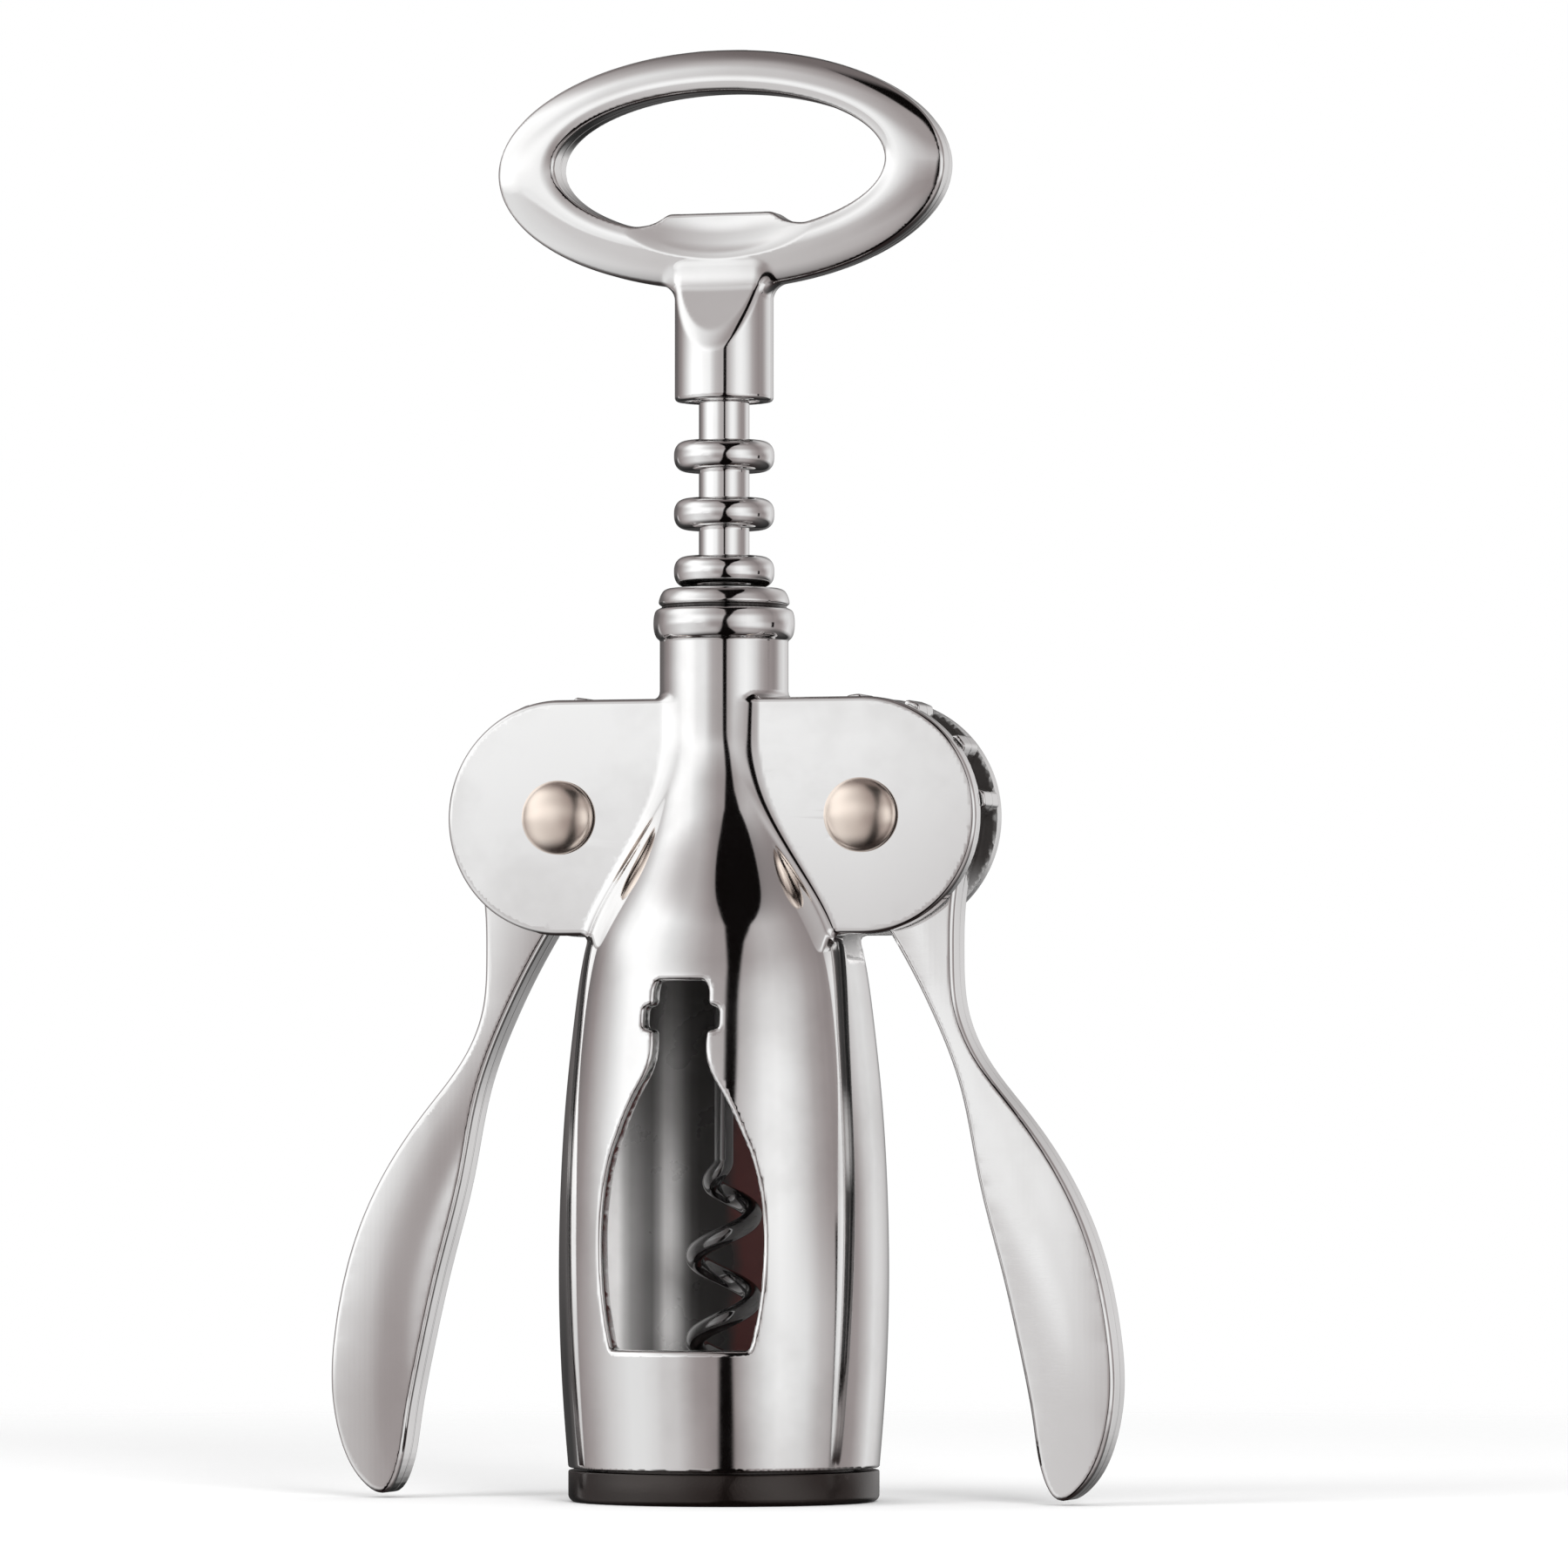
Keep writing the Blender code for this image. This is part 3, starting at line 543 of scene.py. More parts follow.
def slopes_of(form, points, reach=0.00012):
    """Which way a form rises at each point."""
    slopes = np.empty_like(points)
    for axis in range(3):
        ahead, behind = points.copy(), points.copy()
        ahead[:, axis] += reach
        behind[:, axis] -= reach
        slopes[:, axis] = (form(*ahead.T) - form(*behind.T)) / (2 * reach)
    return slopes


def settled(form, points, rounds, longest=0.0005):
    """Points moved onto the surface of a form, no further than the longest step each round."""
    for _ in range(rounds):
        slopes = slopes_of(form, points)
        step = form(*points.T)[:, None] * slopes / np.maximum((slopes**2).sum(1), 0.05)[:, None]
        length = np.linalg.norm(step, axis=1)[:, None]
        points = points - step * np.minimum(1, longest / np.maximum(length, 1e-12))
    return points


def grid_line(low, high, spacing, fine=(), fine_spacing=0.0):
    """Places along an axis, closer together in the fine spans."""
    places = [low]
    while places[-1] < high:
        close = any(start <= places[-1] < end for start, end in fine)
        places.append(places[-1] + (fine_spacing if close else spacing))
    return np.array(places)


def net_over(form, axes):
    """A closed net of quads close to the surface of a form, one point in each cell that it crosses."""
    values = form(axes[0][:, None, None], axes[1][None, :, None], axes[2][None, None, :])
    inside = values < 0
    corners = [(i, j, k) for i in (0, 1) for j in (0, 1) for k in (0, 1)]
    size = [length - 1 for length in inside.shape]

    def at(grid, corner):
        return grid[tuple(slice(c, c + n) for c, n in zip(corner, size))]

    count = sum(at(inside, corner).astype(np.int8) for corner in corners)
    cells = np.argwhere((count > 0) & (count < 8))
    number = np.full(size, -1, np.int64)
    number[tuple(cells.T)] = np.arange(len(cells))
    total = np.zeros((len(cells), 3))
    crossings = np.zeros(len(cells))
    for start in corners:
        for axis in range(3):
            if start[axis]:
                continue
            end = tuple(c + (k == axis) for k, c in enumerate(start))
            a = values[tuple((cells + start).T)]
            b = values[tuple((cells + end).T)]
            crossed = (a < 0) != (b < 0)
            share = np.where(crossed, a / np.where(crossed, a - b, 1), 0)
            spot = np.array(start, float)[None, :].repeat(len(cells), 0)
            spot[:, axis] = share
            total += spot * crossed[:, None]
            crossings += crossed
    share = total / crossings[:, None]
    columns = []
    for axis in range(3):
        start, end = axes[axis][cells[:, axis]], axes[axis][cells[:, axis] + 1]
        columns.append(start + share[:, axis] * (end - start))
    points = np.stack(columns, 1)

    quads = []
    around = {0: ((0, -1, -1), (0, 0, -1), (0, 0, 0), (0, -1, 0)),
              1: ((-1, 0, -1), (-1, 0, 0), (0, 0, 0), (0, 0, -1)),
              2: ((-1, -1, 0), (0, -1, 0), (0, 0, 0), (-1, 0, 0))}
    for axis in range(3):
        near = [slice(1, n) for n in size]
        near[axis] = slice(0, size[axis])
        far = list(near)
        far[axis] = slice(1, size[axis] + 1)
        here, there = inside[tuple(near)], inside[tuple(far)]
        for facing in (True, False):
            edges = np.argwhere((here == facing) & (there != facing))
            edges += [0 if k == axis else 1 for k in range(3)]
            loop = [number[tuple((edges + step).T)] for step in around[axis]]
            quads.append(np.stack(loop if facing else loop[::-1], 1))
    return points, np.concatenate(quads)


def mesh_of(name, points, faces):
    mesh = bpy.data.meshes.new(name)
    mesh.from_pydata(points.tolist(), [], faces.tolist())
    mesh.update()
    return mesh


def points_of(mesh):
    points = np.empty(len(mesh.vertices) * 3)
    mesh.vertices.foreach_get("co", points)
    return points.reshape(-1, 3)


def cast_piece(name, form, low, high, spacing, share, fine=((), (), ()), fine_spacing=0.0, inner=None):
    """A smooth casting: a net over its form, thinned where it is plain, with exact normals.

    Attributes go with it: "edge" is high on outer edges, "corner" in inner ones, "inner" on rough walls.
    """
    coarse = 1.0
    axes = [
        grid_line(a, b, spacing * coarse, spans, fine_spacing * coarse)
        for a, b, spans in zip(low, high, fine)
    ]
    points, faces = net_over(form, axes)
    points = settled(form, points, 3)
    piece = placed(name, mesh_of(name, points, faces))
    thinned = piece.modifiers.new("thinned", "DECIMATE")
    thinned.ratio = share
    graph = bpy.context.evaluated_depsgraph_get()
    mesh = bpy.data.meshes.new_from_object(piece.evaluated_get(graph))
    piece.modifiers.clear()
    piece.data = mesh
    points = settled(form, points_of(mesh), 2)
    mesh.vertices.foreach_set("co", points.ravel())
    normals = slopes_of(form, points)
    normals /= np.maximum(np.linalg.norm(normals, axis=1), 1e-9)[:, None]
    marks = {
        "edge": np.clip(1 + form(*(points - MARK_DEPTH * normals).T) / MARK_DEPTH, 0, 1),
        "corner": np.clip(1 - form(*(points + MARK_DEPTH * normals).T) / MARK_DEPTH, 0, 1),
    }
    if inner is not None:
        marks["inner"] = inner(*points.T)
    for mark, values in marks.items():
        mesh.attributes.new(mark, "FLOAT", "POINT").data.foreach_set("value", values.astype(np.float32))
    mesh.shade_smooth()
    mesh.normals_split_custom_set_from_vertices(normals.tolist())
    mesh.update()
    return piece


def bell_profile():
    """The radius of the outside at each height, and how much the wall leans there."""
    heights = np.arange(FOOT_HEIGHT, COLLAR_TOP + PROFILE_STEP, PROFILE_STEP)
    rise = NECK_BASE - FOOT_HEIGHT
    swelling = BELL_RADIUS - NECK_RADIUS
    curve = fair_curve([(up * rise, NECK_RADIUS + swelling * out) for up, out in bell_shares], 2000)
    bell = np.interp(heights - FOOT_HEIGHT, curve[:, 0], curve[:, 1])
    bell = np.where(heights > NECK_BASE, NECK_RADIUS, bell)
    bell = softened(bell, PROFILE_STEP, BELL_SOFTNESS)
    bead = (heights - NECK_TOP) / (BEAD_HEIGHT / 2) - 1
    lip = (heights - NECK_TOP - BEAD_HEIGHT) / LIP_HEIGHT
    swell = BEAD_SWELL * np.sqrt(np.maximum(1 - abs(bead) ** BEAD_SQUARENESS, 0))
    swell = np.where(abs(bead) < 1, swell, 0)
    round_lip = LIP_SWELL - LIP_DRAW * (1 - np.sqrt(np.maximum(1 - (LIP_FULLNESS * lip) ** 2, 0)))
    collar = softened(np.where(lip > 0, round_lip, swell), PROFILE_STEP, COLLAR_SOFTNESS)
    collar -= GROOVE * np.exp(-((lip * LIP_HEIGHT / GROOVE_WIDTH) ** 2))
    radius = bell + collar
    return heights, radius, np.gradient(radius, PROFILE_STEP)


def build_body_form():
    """The casting's form, and how far a point of it lies on rough walls."""
    heights, radii, leans = bell_profile()
    half, cap = [
        [(WINDOW_HALF_WIDTH * x, WINDOW_SILL + WINDOW_HEIGHT * z) for x, z in shares]
        for shares in (window_shares, window_cap_shares)
    ]
    half = fair_curve(half, 90).tolist() + cap
    whole = half + [(-x, z) for x, z in reversed(half)]
    window_form = outline_form(even_outline(whole, OUTLINE_STEP, WINDOW_CORNER), OUTLINE_ROOM, TABLE_STEP)

    def form(x, y, z):
        away = np.hypot(x, y)
        radius = np.interp(z, heights, radii)
        lean = 1 / np.sqrt(1 + np.interp(z, heights, leans) ** 2)
        outside = (away - radius) * lean
        outside = common(outside, FOOT_HEIGHT - z, FOOT_EDGE)
        outside = common(outside, z - COLLAR_TOP, LIP_EDGE)
        past = np.hypot(np.maximum(abs(x) - PIVOT_REACH, 0), z - PIVOT_HEIGHT)
        face = abs(y) - EAR_OUTER + EAR_PILLOW * (past / EAR_RADIUS) ** 2
        ears = common(past - EAR_RADIUS, face, EAR_EDGE)
        solid = joined(outside, ears, EAR_FILLET)
        window = np.maximum(window_form(x, z), y - WINDOW_BACK)
        solid = cut(solid, window, WINDOW_EDGE)
        hollow = (away - np.maximum(radius - BELL_WALL, BORE_RADIUS)) * lean
        from_pivot = np.hypot(abs(x) - PIVOT_REACH, z - PIVOT_HEIGHT)
        slot = np.maximum(from_pivot - SLOT_RADIUS, abs(y) - EAR_INNER)
        solid = cut(solid, slot, HOLLOW_EDGE)
        solid = cut(solid, hollow, HOLLOW_EDGE)
        return cut(solid, from_pivot - PIVOT_BORE, BORE_EDGE)

    def inner(x, y, z):
        """1 on the rough walls of the hollow and of the levers' slots, 0 on the polished outside."""
        away = np.hypot(x, y)
        wall = np.maximum(np.interp(z, heights, radii) - BELL_WALL, BORE_RADIUS)
        hollow = np.clip(1.5 - (away - wall) / ROUGH_DEPTH, 0, 1)
        near = np.hypot(abs(x) - PIVOT_REACH, z - PIVOT_HEIGHT) < SLOT_RADIUS + 0.0004
        slot = np.clip(1.5 - (abs(y) - EAR_INNER) / ROUGH_SLOT_DEPTH, 0, 1) * near
        return np.maximum(hollow, slot)

    return form, inner


def effect_group(name, inputs, outputs):
    """A shader node group with named numbers: its tree, what it is given and what it puts out."""
    tree = bpy.data.node_groups.new(name, "ShaderNodeTree")
    for socket, usual in inputs.items():
        made = tree.interface.new_socket(socket, in_out="INPUT", socket_type="NodeSocketFloat")
        made.default_value = usual
    for socket in outputs:
        tree.interface.new_socket(socket, in_out="OUTPUT", socket_type="NodeSocketFloat")
    return tree, node(tree, "NodeGroupInput").outputs, node(tree, "NodeGroupOutput").inputs


def placed_group(tree, group, **values):
    """The outputs of a group that is placed in a material with these inputs."""
    made = node(tree, "ShaderNodeGroup", node_tree=group)
    for name, value in values.items():
        fill(tree, made.inputs[name.capitalize()], value)
    return made.outputs


def build_polish_group():
    """What handling leaves on polished plating: haze, hairlines and a slow swell of the surface."""
    inputs = {"Roughness": 0.05, "Haze": 0.04, "Hairlines": 0.4, "Swell": 0.3}
    tree, given, out = effect_group("polish", inputs, ("Roughness", "Height", "Smudge"))
    spot = own_place(tree)
    smudge = eased(tree, noise(tree, spot, 55.0, 4.0, 0.6), 0.44, 0.70)
    grit = times(tree, minus(tree, noise(tree, spot, 900.0, 2.0), 0.5), 0.6)
    spread = times(tree, plus(tree, smudge, grit), given["Haze"])
    link(tree, worked(tree, "MAXIMUM", plus(tree, given["Roughness"], spread), 0.02), out["Roughness"])
    turned = {"Vector": spot, "Rotation": (0.5, 0.35, 0.2), "Scale": (1.0, 1.0, 14.0)}
    lines = noise(tree, node(tree, "ShaderNodeMapping", inputs=turned).outputs[0], 420.0, 3.0)
    scratch = eased(tree, worked(tree, "ABSOLUTE", minus(tree, lines, 0.5)), 0.02, 0.0)
    scratch = times(tree, scratch, given["Hairlines"], -0.02)
    swell = times(tree, noise(tree, spot, 110.0, 1.0), given["Swell"])
    link(tree, plus(tree, swell, scratch), out["Height"])
    link(tree, smudge, out["Smudge"])
    return tree


def build_wear_and_shade_group():
    """Where an edge is rubbed, and where polish residue and painted shade darken an inner corner, each
    broken up by noise.
    """
    inputs = {"Edge": 0.0, "Corner": 0.0, "Amount": 0.5}
    tree, given, out = effect_group("wear_and_shade", inputs, ("Rubbed", "Residue And Shade"))
    keep = eased(tree, noise(tree, own_place(tree), 380.0, 4.0, 0.7), 0.35, 0.65)
    rubbed = times(tree, eased(tree, given["Edge"], 0.25, 0.9), keep, given["Amount"])
    # Polish residue and painted shade darken the inner corners.
    residue_and_shade = times(tree, eased(tree, given["Corner"], 0.2, 0.8), keep, given["Amount"])
    link(tree, rubbed, out["Rubbed"])
    link(tree, residue_and_shade, out["Residue And Shade"])
    return tree


polish_group = build_polish_group()
wear_and_shade_group = build_wear_and_shade_group()


def new_finish(name):
    """A new material with its tree and its shader."""
    material = bpy.data.materials.new(name)
    material.use_nodes = True
    return material, *opened(material)


def opened(material):
    return material.node_tree, material.node_tree.nodes["Principled BSDF"]


def mark_of(tree, name):
    """A mark that a casting's mesh carries."""
    return node(tree, "ShaderNodeAttribute", attribute_name=name).outputs["Fac"]


def feeding(shader, socket):
    """What feeds a socket of a shader so far."""
    return shader.inputs[socket].links[0].from_socket


def add_bump(tree, shader, height, depth):
    """Raises the surface by a height, on top of what raises it already."""
    bump = node(tree, "ShaderNodeBump", inputs={"Strength": 1.0, "Distance": depth, "Height": height})
    if shader.inputs["Normal"].is_linked:
        link(tree, feeding(shader, "Normal"), bump.inputs["Normal"])
    link(tree, bump.outputs[0], shader.inputs["Normal"])


def metal_finish(name, colour, rubbed, residue_and_shade, roughness, haze, swell=0.25, wear_and_shade=0.5, hairlines=0.4):
    """A plated metal with a soft swell, haze, hairlines, rubbed edges, and residue with painted shade in
    its corners.
    """
    material, tree, shader = new_finish(name)
    shader.inputs["Metallic"].default_value = 1.0
    polish = placed_group(
        tree, polish_group, roughness=roughness, haze=haze, hairlines=hairlines, swell=swell
    )
    edge, corner = mark_of(tree, "edge"), mark_of(tree, "corner")
    marks = placed_group(tree, wear_and_shade_group, edge=edge, corner=corner, amount=wear_and_shade)
    tint = blended(tree, times(tree, polish["Smudge"], 0.22), colour, residue_and_shade)
    tint = blended(tree, marks["Rubbed"], tint, rubbed)
    # Residue and painted shade darken the inner corners.
    tint = blended(tree, marks["Residue And Shade"], tint, residue_and_shade)
    link(tree, tint, shader.inputs["Base Color"])
    rough = plus(tree, polish["Roughness"], times(tree, marks["Residue And Shade"], 0.12))
    link(tree, rough, shader.inputs["Roughness"])
    add_bump(tree, shader, polish["Height"], 0.00002)
    return material


def add_rough_walls(material):
    """Walls marked "inner" aren't polished: thin plating, with painted light and shade in streaks across
    the back wall, painted shade darkening it towards the top and nearly black high up and in the slots,
    and a wine stain. Painted shade also darkens the collar's groove outside.
    """
    tree, shader = opened(material)
    spot = own_place(tree)
    inner = mark_of(tree, "inner")
    cloud = noise(tree, spot, 160.0, 5.0)
    aside, ahead = measured(tree, spot, WINDOW_RIGHT), measured(tree, spot, WINDOW_FRONT)
    height = measured(tree, spot, (0, 0, 1))
    # Painted light and shade in streaks across the back wall.
    shades = [(place, (shade, shade, shade, 1)) for place, shade in painted_light_shares]
    painted_light = ramp(tree, straight(tree, aside, *PAINTED_LIGHT_SPAN), shades)
    plating_and_shade = blended(tree, eased(tree, cloud, 0.40, 0.75, 0.0, 0.25), WALL_PLATING, CLOUDED_PLATING)
    # Painted shade: darker towards the top.
    top_shade_factor = eased(tree, height, *TOP_SHADE_FADE, 0.10, 1.0)
    plating_and_shade = blended(tree, times(tree, painted_light, top_shade_factor), SHADE_BLACK, plating_and_shade)
    behind = times(tree, eased(tree, ahead, *REAR_FROM), eased(tree, aside, *REAR_RIGHT_END))
    plating_and_shade = blended(tree, behind, WALL_PLATING, plating_and_shade)
    edge = plus(tree, aside, times(tree, cloud, 0.003))
    stained = times(tree, eased(tree, edge, *STAIN_LEFT), eased(tree, edge, *STAIN_RIGHT))
    stained = times(tree, stained, times(tree, behind, eased(tree, height, *STAIN_TOP)))
    dull = blended(tree, stained, plating_and_shade, WINE_STAIN)
    # Painted shade: nearly black high up and in the slots.
    dull = blended(tree, eased(tree, height, *TOP_SHADE_FROM), dull, SHADE_BLACK)
    # Painted shade darkens the collar's groove.
    groove = worked(tree, "ABSOLUTE", minus(tree, height, NECK_TOP + BEAD_HEIGHT))
    base = feeding(shader, "Base Color")
    base = blended(tree, eased(tree, groove, *GROOVE_SHADE_SPAN, 0.0, 0.85), base, GROOVE_SHADE)
    link(tree, blended(tree, inner, base, dull), shader.inputs["Base Color"])
    rough = feeding(shader, "Roughness")
    dull_rough = plus(tree, eased(tree, cloud, 0.3, 0.7, 0.26, 0.34), times(tree, stained, 0.15))
    mixed = times(tree, inner, minus(tree, dull_rough, rough))
    link(tree, plus(tree, rough, mixed), shader.inputs["Roughness"])
    link(tree, minus(tree, 1.0, times(tree, inner, 0.85)), shader.inputs["Metallic"])


chrome = metal_finish(
    "polished_chrome", CHROME, RUBBED_CHROME, CHROME_RESIDUE_AND_SHADE, 0.045, 0.035, swell=0.13, wear_and_shade=0.8
)
add_rough_walls(chrome)

body_form, body_inner = build_body_form()
body_reach = PIVOT_REACH + EAR_RADIUS + EAR_ROOM
body = cast_piece(
    "body_casting_polished",
    body_form,
    (-body_reach, -BELL_RADIUS - NET_ROOM, FOOT_HEIGHT - NET_ROOM),
    (body_reach, BELL_RADIUS + NET_ROOM, COLLAR_TOP + NET_ROOM),
    BODY_NET,
    share=0.53,
    fine=((), EAR_EDGE_SPANS, (COLLAR_SPAN,)),
    fine_spacing=BODY_FINE_NET,
    inner=body_inner,
)
body.data.materials.append(chrome)
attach(body, "body")
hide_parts("body_casting")

# The bottle rest ring: dark brown moulded plastic under the bell, which sits on the bottle's neck.
# Its spigot is pressed into the bell, and its lower edges are rounded.
REST_OUTER = 0.0193
REST_BORE = 0.0150
REST_SPIGOT_OUTER = 0.0162
REST_FLANGE = 0.0039
REST_SPIGOT_TOP = 0.0093
REST_ROUND = 0.0009
FLANGE_EDGE = 0.0002
SPIGOT_EDGE = 0.0004
REST_TINT = (1.0, 0.90, 0.86, 1)


def quarter(centre, radius, start_deg, end_deg, steps=8):
    """Points round part of a circle in the plane of a profile."""
    angles = np.radians(np.linspace(start_deg, end_deg, steps + 1))
    return [(centre[0] + radius * math.cos(a), centre[1] + radius * math.sin(a)) for a in angles]


def turned_mesh(name, profile, steps):
    """A closed profile of (radius, height) points, counterclockwise, spun round the rack's axis."""
    turns = np.linspace(0, math.tau, steps, endpoint=False)
    ring = np.array(profile)
    points = [(r * math.cos(a), r * math.sin(a), z) for a in turns for r, z in ring]
    count = len(ring)
    faces = []
    for turn in range(steps):
        for k in range(count):
            here, there = turn * count, (turn + 1) % steps * count
            along = (k + 1) % count
            faces.append((here + k, there + k, there + along, here + along))
    mesh = mesh_of(name, np.array(points), np.array(faces))
    mesh.shade_smooth()
    mesh.set_sharp_from_angle(angle=math.radians(42))
    return mesh


def moulded_plastic():
    """Semi-gloss moulded plastic, nearly black, with a fine spark texture and pale scuffs."""
    material, tree, shader = new_finish("moulded_plastic")
    spot = own_place(tree)
    cloud, scuff = noise(tree, spot, 90.0, 5.0), noise(tree, spot, 520.0, 4.0, 0.7)
    colour = blended(tree, cloud, (0.0022, 0.0014, 0.0012, 1), (0.0052, 0.0034, 0.0029, 1))
    colour = blended(tree, eased(tree, scuff, 0.62, 0.80, 0, 0.25), colour, (0.06, 0.052, 0.048, 1))
    link(tree, colour, shader.inputs["Base Color"])
    rough = plus(tree, eased(tree, cloud, 0.3, 0.7, 0.14, 0.21), eased(tree, scuff, 0.60, 0.80, 0, 0.15))
    link(tree, rough, shader.inputs["Roughness"])
    add_bump(tree, shader, noise(tree, spot, 2600.0, 2.0), 0.00001)
    shader.inputs["IOR"].default_value = 1.62
    shader.inputs["Specular Tint"].default_value = REST_TINT
    return material


rest = [(REST_BORE + REST_ROUND, 0.0)]
rest += quarter((REST_OUTER - REST_ROUND, REST_ROUND), REST_ROUND, -90, 0)
rest += quarter((REST_OUTER - FLANGE_EDGE, REST_FLANGE - FLANGE_EDGE), FLANGE_EDGE, 0, 90, 3)
rest += [(REST_SPIGOT_OUTER, REST_FLANGE)]
rest += quarter((REST_SPIGOT_OUTER - SPIGOT_EDGE, REST_SPIGOT_TOP - SPIGOT_EDGE), SPIGOT_EDGE, 0, 90, 3)
rest += quarter((REST_BORE + SPIGOT_EDGE, REST_SPIGOT_TOP - SPIGOT_EDGE), SPIGOT_EDGE, 90, 180, 3)
rest += quarter((REST_BORE + REST_ROUND, REST_ROUND), REST_ROUND, 180, 270)[:-1]
rest_ring = placed("bottle_rest_ring_moulded", turned_mesh("bottle_rest_ring_moulded", rest, 192))
rest_ring.data.materials.append(moulded_plastic())
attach(rest_ring, "body")
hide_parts("bottle_rest_ring")

# The rivets: champagne nickel plated brass, a domed head at the front of each pair of ears and a
# domed cap at the rear, on one shank. One tree sets the four domes on the two pivots.
RIVET_RADIUS = 0.0026
RIVET_HEAD_RADIUS = 0.0046
RIVET_HEAD_HEIGHT = 0.0024
RIVET_SEAT = 0.0066
DOME_END = 0.86
DOME_RIM_END = 0.93
DOME_FULLNESS = 0.94
DOME_RIM_SHARE = 0.10
DOME_STEPS = 56
ROUND_STEPS = 97
SHANK_OVERLAP = 1.01


def named_inputs(tree, sizes):
    """What a tree is given: a named socket for each of its sizes, and one for its finish."""
    tree.interface.new_socket("Geometry", in_out="OUTPUT", socket_type="NodeSocketGeometry")
    kinds = {float: "NodeSocketFloat", int: "NodeSocketInt"}
    for name, value in sizes.items():
        kind = kinds.get(type(value), "NodeSocketMaterial")
        tree.interface.new_socket(name, in_out="INPUT", socket_type=kind)
    return node(tree, "NodeGroupInput").outputs


def point_at(tree, x=0.0, y=0.0, z=0.0):
    return node(tree, "ShaderNodeCombineXYZ", inputs={0: x, 1: y, 2: z}).outputs[0]


def parts_of(tree, spot):
    return node(tree, "ShaderNodeSeparateXYZ", inputs={0: spot}).outputs


def moved(tree, shape, **how):
    """A shape after a Translation, a Rotation or both."""
    return node(tree, "GeometryNodeTransform", inputs={0: shape, **how}).outputs[0]


def together(tree, *shapes):
    """Several shapes as one."""
    made = node(tree, "GeometryNodeJoinGeometry")
    for shape in shapes:
        link(tree, shape, made.inputs[0])
    return made.outputs[0]


def set_out(tree, places, shape):
    """A copy of a shape at each of the places."""
    return node(tree, "GeometryNodeInstanceOnPoints", inputs={0: places, "Instance": shape}).outputs[0]


def close_tree(tree, shape, finish):
    """Ends a tree: real geometry, smooth, in its finish."""
    real = node(tree, "GeometryNodeRealizeInstances", inputs={0: shape}).outputs[0]
    smooth = node(tree, "GeometryNodeSetShadeSmooth", inputs={0: real}).outputs[0]
    dressed = node(tree, "GeometryNodeSetMaterial", inputs={0: smooth, "Material": finish}).outputs[0]
    link(tree, dressed, node(tree, "NodeGroupOutput").inputs[0])


def grown(name, tree, values, sharp_deg):
    """The plain mesh that a tree makes with these sizes."""
    start = placed(name, bpy.data.meshes.new(name))
    step = start.modifiers.new("shape", "NODES")
    step.node_group = tree
    for socket in tree.interface.items_tree:
        if socket.in_out == "INPUT":
            step[socket.identifier] = values[socket.name]
    graph = bpy.context.evaluated_depsgraph_get()
    mesh = bpy.data.meshes.new_from_object(start.evaluated_get(graph))
    start.modifiers.clear()
    shape = bmesh.new()
    shape.from_mesh(mesh)
    bmesh.ops.remove_doubles(shape, verts=shape.verts, dist=1e-6)
    bmesh.ops.recalc_face_normals(shape, faces=shape.faces)
    shape.to_mesh(mesh)
    shape.free()
    mesh.shade_smooth()
    mesh.set_sharp_from_angle(angle=math.radians(sharp_deg))
    start.data = mesh
    return start


def polar_sheet(tree, along_steps, round_steps):
    """A flat sheet to be rolled up: its share along the profile, and its angle round the axis."""
    steps = {"Size X": 1.0, "Size Y": 1.0, "Vertices X": along_steps, "Vertices Y": round_steps}
    sheet = node(tree, "GeometryNodeMeshGrid", inputs=steps).outputs[0]
    x, y, _ = parts_of(tree, node(tree, "GeometryNodeInputPosition").outputs[0])
    return sheet, plus(tree, x, 0.5), times(tree, plus(tree, y, 0.5), math.tau)


def around(tree, angle, radius, height):
    """A place at an angle, a radius and a height."""
    x = times(tree, radius, worked(tree, "COSINE", angle))
    y = times(tree, radius, worked(tree, "SINE", angle))
    return point_at(tree, x, y, height)


def rolled(tree, sheet, angle, radius, height):
    """The sheet moved to a radius and a height at each of its points."""
    spots = around(tree, angle, radius, height)
    return node(tree, "GeometryNodeSetPosition", inputs={0: sheet, "Position": spots}).outputs[0]


